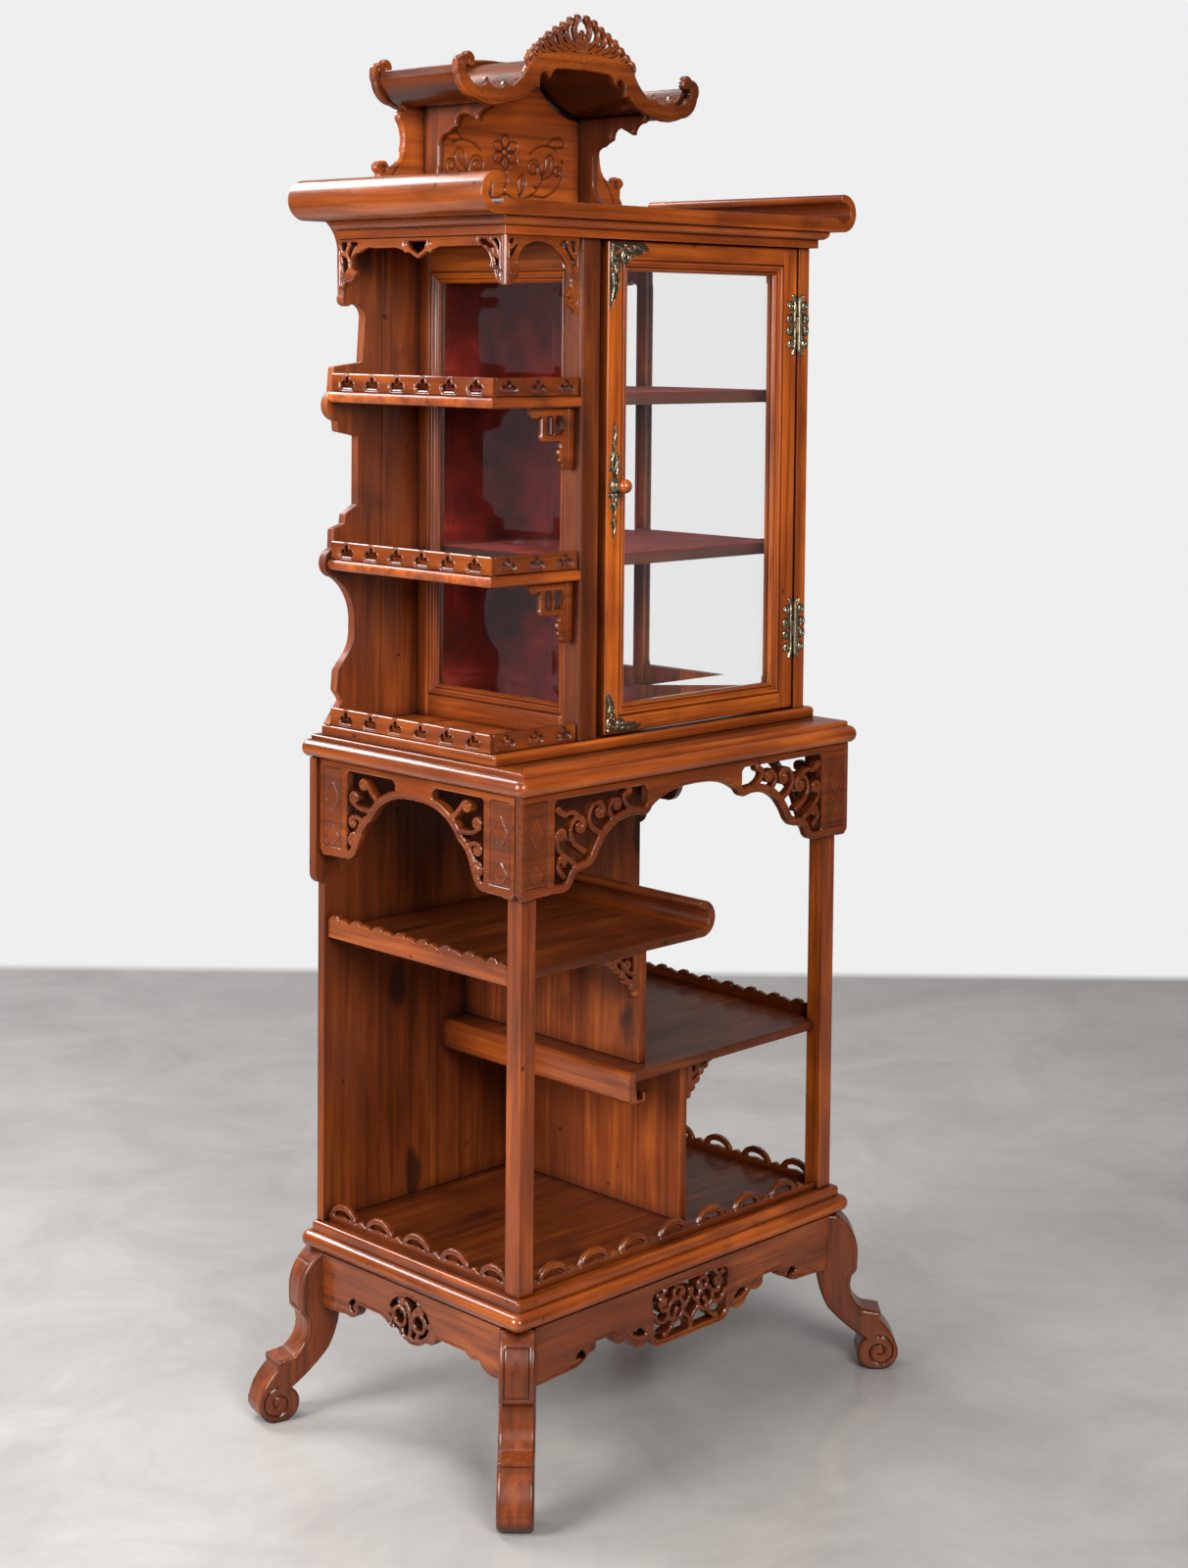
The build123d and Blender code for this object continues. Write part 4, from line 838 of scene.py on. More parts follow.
def buildFrontApron():
    look = apronLook
    h = legTop
    end, foot = 300.0, h - 93
    half = trace((end, h), (end, h - 80), (232, h - 77), ((212, h - 73), (198, h - 63)),
                 ((188, h - 61), (186, h - 51.5)), (152, h - 51.5), ((147, h - 65), (128, h - 63)),
                 (116, h - 73), ((99, h - 84), (84, h - 75)), (80, h - 79), ((72, h - 90), (58, h - 93)),
                 (0, foot))
    outline = mirroredLine(half)
    window = mirroredLine(trace((0, h - 16), (66, h - 16), ((76, h - 22), (76, h - 34)), (73, h - 70),
                                ((68, h - 81), (58, h - 84)), (0, h - 84)))
    rings = [spiral(30, h - 50, 15, 15, 0, 1)]
    hooks = [scroll((14, h - 50), (2, h - 40), (-2, h - 30)), scroll((0, h - 82), (4, h - 68), (17, h - 58)),
             scroll((44, h - 44), (56, h - 46), (62, h - 36), curl=(55, h - 34, 7, -10, 0.8)),
             scroll((30, h - 36), (34, h - 26), (26, h - 20), (16, h - 24), curl=(18, h - 29, 4.5, 120, 0.7)),
             scroll((44, h - 58), (56, h - 62), (66, h - 58), (72, h - 50)),
             scroll((34, h - 64), (40, h - 74), (52, h - 80)),
             scroll((50, h - 18), (58, h - 24), (66, h - 22)),
             scroll((30, h - 66), (33, h - 58), (28, h - 50))]
    smallHoles = [scroll((92, h - 66), (102, h - 62), (114, h - 60)),
                  scroll((206, h - 66), (214, h - 60), (222, h - 62))]
    veins = [scroll((92, h - 76), (112, h - 70), (126, h - 60), curl=(136, h - 58, 8, 180, -0.7)),
             scroll((232, h - 72), (214, h - 68), (202, h - 58), curl=(194, h - 56, 6, 0, 0.7)),
             scroll((262, h - 70), (248, h - 66), (240, h - 58), (246, h - 50))]

    def outer(u, v):
        return shapeField(u, v, outline)

    def field(u, v):
        solid = outer(u, v)
        opening = shapeField(u, v, window)
        lattice = unionOf(strands(u, v, bothWays(rings), look["strand"]),
                          strands(u, v, bothWays(hooks), look["strand"], 3.0, look["strand"] + 0.8))
        holes = strands(u, v, bothWays(smallHoles), 2.0, 5.0, 1.5)
        return pierced(solid, opening, lattice, 2, holes)

    def relief(u, v, depth):
        rim = edgeLine(outer(u, v), look["lineIn"], 0.9, look["lineDeep"]) * (v < h - 30)
        frameLine = edgeLine(shapeField(u, v, window), -5.0, 0.9, look["lineDeep"])
        cuts = cutsAlong(u, v, bothWays(veins), 0.9)
        crown = cutsAlong(u, v, bothWays(rings + hooks), 0.8, 0.8)
        return np.maximum(rim + frameLine + cuts + crown, -cutLimit)
    plane, thickness = planeOf("apron_front", "front")
    piece = carvedBoard("apron_front_carved", field, ((-end, end), (foot, h)), look["step"], thickness,
                        plane, relief, look["rounding"])
    dress(piece, "carvedX", "apron_front")


def buildSideApron(node, face):
    look = apronLook
    h, sign = legTop, -1 if face == "left" else 1
    front, back = -(halfDepth + 15.2) + 26, halfDepth + 15.2 - 30
    run = trace((front, h), (front, h - 74), (-182, h - 70), ((-158, h - 70), (-142, h - 58)), (-127, h - 61),
                (-114, h - 54), (-58, h - 54), ((-50, h - 65), (-36, h - 65)), ((-2, h - 76), (22, h - 62)),
                (34, h - 65), (47, h - 57), (57, h - 54), (105, h - 54), ((108, h - 70), (128, h - 74)),
                (150, h - 77), (back, h - 78), (back, h))
    angle = np.linspace(0, 2 * math.pi, 60, endpoint=False)
    window = np.stack([-3 + 41 * np.cos(angle), h - 41 + 27 * np.sin(angle)], axis=1)
    lines = [spiral(-22, h - 44, 12.5, 12.5, 0, 1), spiral(17, h - 44, 12.5, 12.5, 0, 1),
             scroll((-3, h - 70), (-6, h - 52), (-2, h - 34), (6, h - 22), curl=(11, h - 24, 5, 160, -0.8)),
             scroll((-6, h - 50), (-12, h - 32), (-22, h - 22), curl=(-26, h - 27, 5, 50, 0.7)),
             scroll((-34, h - 44), (-44, h - 42)), scroll((29, h - 44), (39, h - 40)),
             scroll((17, h - 56), (12, h - 66)), scroll((-22, h - 56), (-18, h - 66))]
    hook = scroll((112, h - 50), (119, h - 58), (113, h - 65))
    veins = [scroll((-200, h - 62), (-180, h - 60), (-164, h - 52)),
             scroll((-140, h - 52), (-130, h - 54), (-118, h - 46)),
             scroll((124, h - 66), (132, h - 60), (146, h - 66), curl=(142, h - 62, 5, -60, 0.8))]
    run, window, hook, lines, veins = handed(sign, run, window, hook, lines, veins)

    def field(u, v):
        solid = shapeField(u, v, run)
        opening = shapeField(u, v, window)
        lattice = strands(u, v, lines, 3.5, 3.0, 3.8)
        hole = strands(u, v, [hook], 2.0, 4.0, 2.0)
        return pierced(solid, opening, lattice, 2, hole)

    def relief(u, v, depth):
        rim = edgeLine(shapeField(u, v, run), 4.5, 0.9, look["lineDeep"]) * (v < h - 30)
        frameLine = edgeLine(shapeField(u, v, window), -5.5, 0.9, look["lineDeep"])
        cuts = cutsAlong(u, v, veins + lines, 0.8, 0.8)
        return np.maximum(rim + frameLine + cuts, -cutLimit)
    plane, thickness = planeOf(node, face, zeroAcross=middleY)
    box = (run.min(0)[0], run.max(0)[0]), (run.min(0)[1], h)
    piece = carvedBoard(node + "_carved", field, box, look["step"], thickness, plane, relief,
                        look["rounding"])
    dress(piece, "carvedY", node)


buildFrontApron()
buildSideApron("apron_left", "left")
buildSideApron("apron_right", "right")
print("aprons carved")


# Spandrels under the waist.

spandrelLook = {"step": 1.25, "rounding": 2.2, "rim": 12.0, "strand": 4.2, "panelSunk": 0.35,
                "hatchPitch": 5.0, "hatchDeep": 0.8, "top": 11.0}


def plaqueRelief(u, v, centre, top):
    # A lined border round smooth lozenges; the rest is cut into slanting lines.
    look = spandrelLook
    x, y = u - centre, v - top
    edge = np.minimum(np.minimum(20 - np.abs(x), y + 121), -9 - y)
    sunk = softStep(edge, 0, 1.2) * look["panelSunk"]
    border = 1.3 * bell(edge, 1.2, 0.9)
    lozenge = np.minimum(np.abs(x) / 15 + np.abs(y + 50) / 24, np.abs(x) / 15 + np.abs(y + 104) / 17)
    outline = 1.1 * np.exp(-((lozenge - 1) * 13 / 0.9)**2)
    slant = np.where(y > -50, x + y, np.where(y > -88, x - y, x + y))
    hatch = (0.5 - 0.5 * np.cos(2 * math.pi * slant / look["hatchPitch"]))**1.5
    lines = look["hatchDeep"] * hatch * softStep(lozenge, 1.04, 1.12) * softStep(edge, 3.0, 4.2)
    return -(sunk + np.maximum(np.maximum(lines, border), outline * (edge > 3)))


def buildSpandrel(node, face, halfLength, centreAcross, archPoints, inner, hooks):
    # The opening's edge is a smooth line from the foot beside the plaque up to the crown.
    look = spandrelLook
    bottom, plaque = -135.0, halfLength - 57.0
    arch = smooth([(plaque + 1, bottom + 2), *archPoints])
    half = np.concatenate([[(halfLength, 0), (halfLength, bottom + 8), (halfLength - 7, bottom)], arch])
    outline = mirroredLine(half)
    archBoth = mirroredLine(arch)
    top = -look["top"]
    window = np.array([(inner, top - 5), (inner + 6, top), (plaque - 6, top), (plaque - 3, top - 4),
                       (plaque - 3, bottom + 13), (plaque - 8, bottom + 8), (inner, bottom + 8)])
    windows = [window, flipped(window)]

    def field(u, v):
        solid = shapeField(u, v, outline)
        rim = look["rim"] - lineField(u, v, archBoth)[0]
        opening = np.maximum(unionOf(*[shapeField(u, v, w) for w in windows]), rim)
        lattice = strands(u, v, bothWays(hooks), look["strand"], look["strand"] * 0.75, look["strand"] * 1.25)
        return pierced(solid, opening, lattice, 3)

    def relief(u, v, depth):
        x = np.abs(u)
        lines = edgeLine(-lineField(u, v, archBoth)[0], 4.5, 0.8, 0.9) * (x < plaque)
        crownCuts = cutsAlong(u, v, bothWays(hooks), 0.9)
        panel = np.where(x > plaque + 3, plaqueRelief(x, v, plaque + 29, 0), 0)
        return np.maximum(lines + crownCuts, -cutLimit) + panel
    plane, thickness = planeOf(node, face, zeroZ=waistLevel, zeroAcross=centreAcross)
    piece = carvedBoard(node + "_carved", field, ((-halfLength, halfLength), (bottom, 0)), look["step"],
                        thickness, plane, relief, look["rounding"])
    dress(piece, "carvedX" if face == "front" else "carvedY", node)


frontHooks = [
    scroll((252, -112), (262, -100), (258, -88), curl=(253, -92, 5, 30, 0.7)),
    scroll((232, -98), (250, -86), (262, -74), (264, -60), curl=(256, -58, 8, 0, 0.75)),
    scroll((214, -84), (232, -72), (240, -56), (232, -40), (218, -40), curl=(222, -50, 9, 120, 0.75)),
    scroll((222, -40), (236, -30), (250, -32), (262, -24)),
    scroll((180, -66), (198, -56), (206, -42), (198, -26), (184, -24), curl=(186, -35, 9, 95, 0.8)),
    scroll((146, -56), (162, -46), (168, -34), (160, -23), curl=(154, -30, 7, 60, 0.8)),
    scroll((120, -42), (134, -34), (140, -22), (130, -15)),
]
sideHooks = [
    scroll((74, -46), (88, -34), (98, -22), curl=(104, -26, 6.5, 146, -0.9)),
    scroll((86, -60), (104, -60), (118, -58), (130, -50), curl=(124, -46, 6.5, -34, 0.8)),
    scroll((104, -84), (112, -75), (122, -72), curl=(126, -80, 7, 116, -0.8)),
    scroll((114, -104), (122, -97), (130, -98), curl=(128, -106, 6, 76, -0.8)),
]
frontArch = [(249, -133), (238, -127), (231, -115), (222, -109.5), (206, -107), (194, -98), (184, -82),
             (170, -66), (152, -55), (132, -50), (115, -49.5), (100, -52), (91, -48), (83, -40), (60, -29),
             (30, -22.5), (0, -21)]
sideArch = [(136, -133), (127, -129), (120, -121), (115, -110), (108, -93), (98, -80), (90, -75), (83, -66),
            (68, -51), (48, -40), (25, -34.5), (0, -33)]
sideLow, sideHigh = corners("spandrel_left")
sideHalf, sideMiddle = (sideHigh[1] - sideLow[1]) / 2, (sideHigh[1] + sideLow[1]) / 2
buildSpandrel("spandrel_front", "front", halfWidth + 13, 0, frontArch, 96, frontHooks)
buildSpandrel("spandrel_left", "left", sideHalf, sideMiddle, sideArch, 38, sideHooks)
buildSpandrel("spandrel_right", "right", sideHalf, sideMiddle, sideArch, 38, sideHooks)
print("spandrels carved")


def carvedAlong(side):
    return "carvedX" if side in ("front", "back") else "carvedY"


# Galleries round the shelves.

galleryLook = {"step": 1.25, "rounding": 1.8, "loopPitch": 77.5, "loopWidth": 57.0, "loopTop": 28.0,
               "rail": 9.5, "strand": 9.0, "waveLow": 13.0, "wavePitch": 46.0, "waveTop": 8.0,
               "trefoilPitch": 52.0, "trefoilTop": 25, "thickness": 8.0, "trefoilThick": 7.0,
               "postReach": 26.5}


def buildLoops(name, side, back, across, low, high, centre):
    look = galleryLook
    span = high - low
    count = int((span - look["loopWidth"]) // look["loopPitch"]) + 1
    first = centre - look["loopPitch"] * (count - 1) / 2
    wide = look["loopWidth"]

    def near(u):
        index = np.clip(np.round((u - first) / look["loopPitch"]), 0, count - 1)
        return u - first - index * look["loopPitch"]

    def ring(u, v):
        return ovalField(near(u), v, 0, look["rail"] - 4, wide, 2 * (look["loopTop"] - look["rail"] + 4), 0)

    def hole(u, v):
        inner = ovalField(near(u), v, 0, look["rail"] - 2, wide - 2.1 * look["strand"],
                          2 * (look["loopTop"] - look["rail"] + 2 - look["strand"]), 0)
        return np.maximum(inner, look["rail"] + 0.5 + 2.0 * bell(near(u), 0, 9) - v)

    def field(u, v):
        x = np.abs(near(u))
        away = (x - look["loopPitch"] / 2) / 8
        top = look["rail"] - 1.4 + 6.0 * np.exp(-away**2)
        return np.maximum(unionOf(v - top, ring(u, v)), -hole(u, v))

    def relief(u, v, depth):
        line = edgeLine(ring(u, v), 4.0, 0.9, 1.0) * (v > look["rail"] - 2)
        return line + edgeLine(-hole(u, v), 1.6, 0.6, 0.3)
    piece = carvedBoard(name, field, ((low, high), (0, look["loopTop"])), look["step"], look["thickness"],
                        facing(side, back, across, floorLevel), relief, look["rounding"], True)
    dress(piece, carvedAlong(side), "base_gallery")


galleryLow, galleryHigh = corners("base_gallery")
postReach = galleryLook["postReach"]
sideLength = galleryHigh[1] - (postLow[1] + postReach)
buildLoops("base_gallery_front", "front", galleryLow[1] + galleryLook["thickness"], 0,
           -halfWidth + postReach, halfWidth - postReach, -12)
buildLoops("base_gallery_left", "left", galleryLow[0] + galleryLook["thickness"], galleryHigh[1], 0,
           sideLength, sideLength / 2)
buildLoops("base_gallery_right", "right", galleryHigh[0] - galleryLook["thickness"], galleryHigh[1],
           -sideLength, 0, -sideLength / 2)


def waveOutline(length, under):
    look = galleryLook
    count = max(2, round(length / look["wavePitch"]))
    p, low = length / count, look["waveLow"]
    steps = [(0, low)]
    for x in np.arange(count) * p:
        steps += [((x + 0.12 * p, low + 5.5), (x + 0.30 * p, low + 8)),
                  ((x + 0.44 * p, low + 7.2), (x + 0.50 * p, low + 2.6)),
                  ((x + 0.60 * p, low + 5), (x + 0.76 * p, low + 4)),
                  ((x + 0.9 * p, low + 2.4), (x + p, low))]
    return trace((0, under), *steps, (length, under))


def buildWaves(name, side, back, across, level, under, length, sign):
    look = galleryLook
    outline = waveOutline(length, under)
    count = max(2, round(length / look["wavePitch"]))
    p = length / count
    curls = [spiral(x + 0.30 * p, look["waveLow"] + 1.5, 4.4, 1.2, 40, 1.2) for x in np.arange(count) * p]
    outline, curls = handed(sign, outline, curls)

    field = shapeOf(outline)

    def relief(u, v, depth):
        cuts = cutsAlong(u, v, curls, 0.7, 0.8)
        return cuts + edgeLine(-depth, 2.6, 0.7, 0.5) * (v > 2)
    box = between(0, sign * length), (under, look["waveLow"] + look["waveTop"])
    piece = carvedBoard(name, field, box, look["step"], look["thickness"],
                        facing(side, back, across, level), relief,
                        look["rounding"], True)
    dress(piece, carvedAlong(side), "shelf_galleries")


wavesLow, wavesHigh = corners("shelf_galleries")
waveLength = wavesHigh[1] - wavesLow[1]
upperShelfTop, lowerShelfTop = corners("shelf_upper")[1][2], corners("shelf_lower")[1][2]
shelfThick = 13
buildWaves("shelf_gallery_left", "left", wavesLow[0] + galleryLook["thickness"], wavesHigh[1],
           upperShelfTop, -12, waveLength, 1)
buildWaves("shelf_gallery_right", "right", wavesHigh[0] - galleryLook["thickness"], wavesHigh[1],
           lowerShelfTop, -shelfThick, waveLength, -1)


def trefoilField(x, v):
    lobes = [np.hypot(x - cx, v - cy) - r for cx, cy, r in ((-8, 10.2, 5.0), (8, 10.2, 5.0), (0, 16.6, 4.8))]
    base = np.maximum(np.abs(x) - 9.5, np.abs(v - 8.4) - 3.0)
    return unionOf(*lobes, base)


def buildTrefoils(name, side, back, across, level, length, count, sign):
    look = galleryLook
    first = (length - look["trefoilPitch"] * (count - 1)) / 2

    def near(u):
        t = np.abs(u)
        index = np.clip(np.round((t - first) / look["trefoilPitch"]), 0, count - 1)
        return t - first - index * look["trefoilPitch"]

    def field(u, v):
        t = np.abs(u)
        board = np.maximum.reduce([-t, t - length, -v, v - look["trefoilTop"]])
        return np.maximum(board, -trefoilField(near(u), v))

    def relief(u, v, depth):
        return edgeLine(-trefoilField(near(u), v), 2.9, 0.6, 0.85)
    box = between(0, sign * length), (0, look["trefoilTop"])
    piece = carvedBoard(name, field, box, look["step"], look["trefoilThick"],
                        facing(side, back, across, level), relief, 1.2, True)
    dress(piece, carvedAlong(side), "bay_galleries")


bayLow, bayHigh = corners("bay_galleries")
bayLevels = {"foot": bayLow[2], "lower": corners("bay_shelf_lower")[1][2],
             "upper": corners("bay_shelf_upper")[1][2]}
for levelName, level in bayLevels.items():
    buildTrefoils(f"bay_gallery_side_{levelName}", "left", bayLow[0] + galleryLook["trefoilThick"],
                  bayHigh[1], level, bayHigh[1] - bayLow[1], 6, 1)
    buildTrefoils(f"bay_gallery_front_{levelName}", "front", bayLow[1] + galleryLook["trefoilThick"],
                  bayLow[0] + galleryLook["trefoilThick"], level,
                  bayHigh[0] - bayLow[0] - galleryLook["trefoilThick"], 3, 1)
print("galleries carved")


# Brackets under the shelves.

bracketLook = {"step": 1.1, "partitionThick": 12.0, "bayThick": 9.0, "wide": 65, "tall": 62, "clear": 1.1,
               "bayShelfThick": 15}


def buildPartitionBracket(name, across, back, zero, sign):
    outline = trace((0, 0), (65, 0), ((63, -11), (53, -12)), ((50, -18), (45, -17)), ((43, -25), (34, -23)),
                    ((33, -33), (27, -33)), ((26, -42), (17, -43)), ((16, -52), (10, -53)), (8, -62),
                    (0, -62))
    window = trace((12, -6), (42, -6), ((40, -16), (30, -18)), ((24, -30), (14, -36)), (12, -36))
    curl = scroll((12, -30), (20, -26), (27, -20), curl=(23, -16, 6.5, -20, 0.8))
    tip = scroll((40, -6), (34, -10), (31, -15))
    cuts = [spiral(52, -6, 4.5, 1.5, 200, 1.2), spiral(8, -48, 4.5, 1.5, 80, 1.2)]
    lines = [curl, tip]
    outline, window, cuts, lines = handed(sign, outline, window, cuts, lines)

    def field(u, v):
        solid, opening = shapeField(u, v, outline), shapeField(u, v, window)
        lattice = strands(u, v, lines, 4.0, 3.0, 4.0)
        return pierced(solid, opening, lattice, 2)

    def relief(u, v, depth):
        return cutsAlong(u, v, cuts + lines) + edgeLine(-depth, 3, 0.7, 0.5)
    box = between(0, sign * bracketLook["wide"]), (-bracketLook["tall"], 0)
    piece = carvedBoard(name, field, box, bracketLook["step"], bracketLook["partitionThick"],
                        facing("front", back, across, zero), relief, 2.2, True)
    dress(piece, "carvedX", "partition_brackets")


bracketLow, bracketHigh = corners("partition_brackets")
fromEnd = bracketLook["wide"] + bracketLook["clear"]
buildPartitionBracket("partition_bracket_upper", bracketLow[0] + fromEnd,
                      bracketLow[1] + bracketLook["partitionThick"], bracketHigh[2], -1)
buildPartitionBracket("partition_bracket_lower", bracketHigh[0] - fromEnd, bracketHigh[1],
                      lowerShelfTop - shelfThick, 1)


def buildBayBracket(name, across, back, zero):
    outline = trace((0, 0), (-80, 0), ((-82, -6), (-76, -10)), ((-70, -15), (-64, -12)), (-60, -12),
                    (-60, -36), ((-58, -44), (-50, -45)), (-27, -45), (-24, -48), (-24, -54),
                    ((-28, -60), (-24, -66)), ((-27, -71), (-22, -74)), ((-20, -80), (-12, -83)), (-4, -83),
                    (0, -80))
    holes = [trace((-51, -12), (-40, -12), (-40, -36), (-46, -36), ((-50, -35), (-51, -31))),
             trace((-34, -12), (-19, -12), (-17, -28), (-22, -36), (-34, -36))]
    cuts = [np.array([(-12, -2), (-12, -74)]), scroll((-20, -50), (-17, -58), (-20, -64)),
            scroll((-19, -66), (-15, -72), (-16, -79)), spiral(-72, -6, 4, 1.4, 120, 1.1),
            scroll((-22, -16), (-26, -24), (-24, -32))]

    def field(u, v):
        return cutOf(shapeField(u, v, outline), *[shapeField(u, v, h) for h in holes])

    def relief(u, v, depth):
        return cutsAlong(u, v, cuts) + edgeLine(-depth, 2.8, 0.7, 0.4)
    piece = carvedBoard(name, field, ((-80, 0), (-83, 0)), bracketLook["step"], bracketLook["bayThick"],
                        facing("front", back, across, zero), relief, 2.4, True)
    dress(piece, "carvedX", "bay_brackets")


bracketLow, bracketHigh = corners("bay_brackets")
for levelName in ("lower", "upper"):
    buildBayBracket(f"bay_bracket_{levelName}", bracketHigh[0], bracketHigh[1],
                    bayLevels[levelName] - bracketLook["bayShelfThick"])
print("brackets carved")


# Fretwork under the cornice.

fretLook = {"step": 1.2, "rounding": 1.6, "strand": 4.0, "thickness": 8.0}


def buildFret(node, side, outline, holes, lines, cuts, across):
    high = corners(node)[1]
    top = high[2]

    def field(u, v):
        solid = shapeField(u, v, outline)
        openings = unionOf(*[shapeField(u, v, h) for h in holes])
        lattice = strands(u, v, lines, fretLook["strand"], 3.0, 4.0)
        return pierced(solid, openings, lattice, 1.5)

    def relief(u, v, depth):
        rim = edgeLine(shapeField(u, v, outline), 3.4, 0.6, 0.7) * (v < -10)
        around = edgeLine(unionOf(*[shapeField(u, v, h) for h in holes]), -3.0, 0.6, 0.6)
        return np.maximum(rim + around + cutsAlong(u, v, cuts), -1.4)
    back = high[1] if side == "front" else high[0]
    box = (outline.min(0)[0], outline.max(0)[0]), (outline.min(0)[1], 0)
    piece = carvedBoard(node + "_carved", field, box, fretLook["step"], fretLook["thickness"],
                        facing(side, back, across, top), relief, fretLook["rounding"], True)
    dress(piece, carvedAlong(side), node)


def buildFrets():
    low, high = corners("bay_fret_left")
    across = middleY
    end = -(low[1] - across)
    start = -(high[1] - across)
    outline = trace((start, 0), (start, -67), (-172, -72), ((-168, -62), (-158, -60)), (-150, -56),
                    (-143, -45), (-151, -42), ((-155, -31), (-139, -20)), ((-125, -14), (-107, -14)),
                    (-62, -14), (-46, -18), (-44, -21), (-36, -20), (-18, -29), (0, -20), (8, -21), (10, -18),
                    (25, -14), (96, -14), ((114, -18), (126, -34)), (122, -42), (132, -46), (135, -57),
                    ((142, -64), (end, -66)), (end, 0))
    holes = [trace((-176, -5), (-146, -5), (-140, -8), ((-150, -14), (-156, -28)), (-160, -38), (-172, -50)),
             trace((-38, -6), (0, -6), (-4, -16), (-18, -23), (-32, -16)),
             trace((104, -5), (138, -5), (142, -12), (142, -40), (134, -40), ((128, -22), (108, -12)))]
    lines = [scroll((-172, -20), (-162, -26), (-158, -38)), scroll((-160, -8), (-166, -20)),
             scroll((122, -6), (134, -14), (139, -28)), scroll((128, -20), (132, -26))]
    cuts = [spiral(-170, -60, 5, 1.5, 90, 1.3), spiral(-42, -10, 5, 1.5, 0, 1.3),
            spiral(6, -10, 5, 1.5, 180, -1.3), spiral(143, -52, 6, 1.6, 120, -1.4),
            scroll((-30, -26), (-18, -32), (-6, -26))]
    buildFret("bay_fret_left", "left", outline, holes, lines, cuts, across)
    low, high = corners("bay_fret_front")
    start, end = low[0], high[0]
    outline = trace((start, 0), (start, -65), (start + 8, -65), ((-288, -56), (-283, -46)), (-288, -36),
                    ((-284, -24), (-276, -15)), ((-252, -8), (-223, -15)), ((-206, -28), (-189, -56)),
                    (-190, -66), (-201, -77), (-190, -80), (-198, -88), (-190, -93), (-183, -97),
                    (-187, -101), (end, -102), (end, 0))
    holes = [trace((-302, -6), (-288, -6), (-286, -10), (-291, -18), (-296, -26), (-302, -30)),
             trace((-208, -6), (-184, -6), (-183, -36), (-189, -40), ((-196, -22), (-212, -11)))]
    lines = [scroll((-196, -8), (-192, -18), (-184, -26)), scroll((-290, -8), (-296, -14), (-302, -16))]
    cuts = [spiral(-297, -50, 5, 1.5, 60, 1.3), spiral(-186, -50, 4, 1.4, 100, 1.3),
            scroll((-186, -60), (-192, -70), (-184, -84), (-184, -96)), scroll((-182, -70), (-180, -86))]
    buildFret("bay_fret_front", "front", outline, holes, lines, cuts, 0)


buildFrets()
print("frets carved")


# Shrine on the top.

shrineLook = {"step": 1.5, "rounding": 3.2, "crestStep": 1.0, "crestThick": 8.0, "engrave": 1.7,
              "board": 12.0, "cheekTall": 150.5, "crestTall": 54}
shrineBase = corners("shrine_side_panels")[0][2]
eaves = shrineBase + 150


def gableOutline():
    half = trace((0, 50), (46, 48), ((58, 44), (63, 36)), (66, 32), (72, 41), ((80, 40), (84, 34)), (85, 18),
                 (94, 19), ((115, 3), (145, -5)), ((178, -10.5), (206, -4)), ((228, 6), (238, 26)),
                 ((241, 44), (226, 54)), ((212, 58), (207, 47)), ((212, 38), (219, 41)),
                 ((224, 34), (215, 26)), ((206, 16), (196, 15)), ((188, 18), (183, 31)),
                 ((176, 18), (163, 14)), ((154, 17), (149, 30)), ((142, 20), (132, 23)),
                 ((118, 34), (105, 52)), ((84, 66), (60, 71)), ((30, 74), (0, 74)))
    return mirroredLine(half[::-1])


def buildGable(name, back):
    look = shrineLook
    outline = gableOutline()
    under = trace((238, 26), ((228, 6), (206, -4)), ((178, -10.5), (145, -5)), ((115, 3), (94, 19)))
    cuts = bothWays([spiral(224, 45, 9, 3, -60, 1.2), scroll((196, 4), (188, 14), (183, 24)),
                     scroll((162, 2), (154, 12), (150, 22)), scroll((66, 38), (74, 48), (86, 44)),
                     scroll((10, 60), (22, 66), (34, 60), (42, 64)), scroll((0, 56), (8, 62), (4, 68))])

    field = shapeOf(outline)

    def relief(u, v, depth):
        line = -0.8 * bell(lineField(np.abs(u), v, under)[0], 5, 0.8)
        return np.maximum(line + cutsAlong(u, v, cuts), -cutLimit)
    low, high = corners("shrine_gables")
    box = (low[0], high[0]), (low[2] - eaves, high[2] - eaves)
    piece = carvedBoard(name, field, box, look["step"], look["board"], facing("front", back, 0, eaves),
                        relief, look["rounding"], True)
    dress(piece, "carvedX", "shrine_gables")


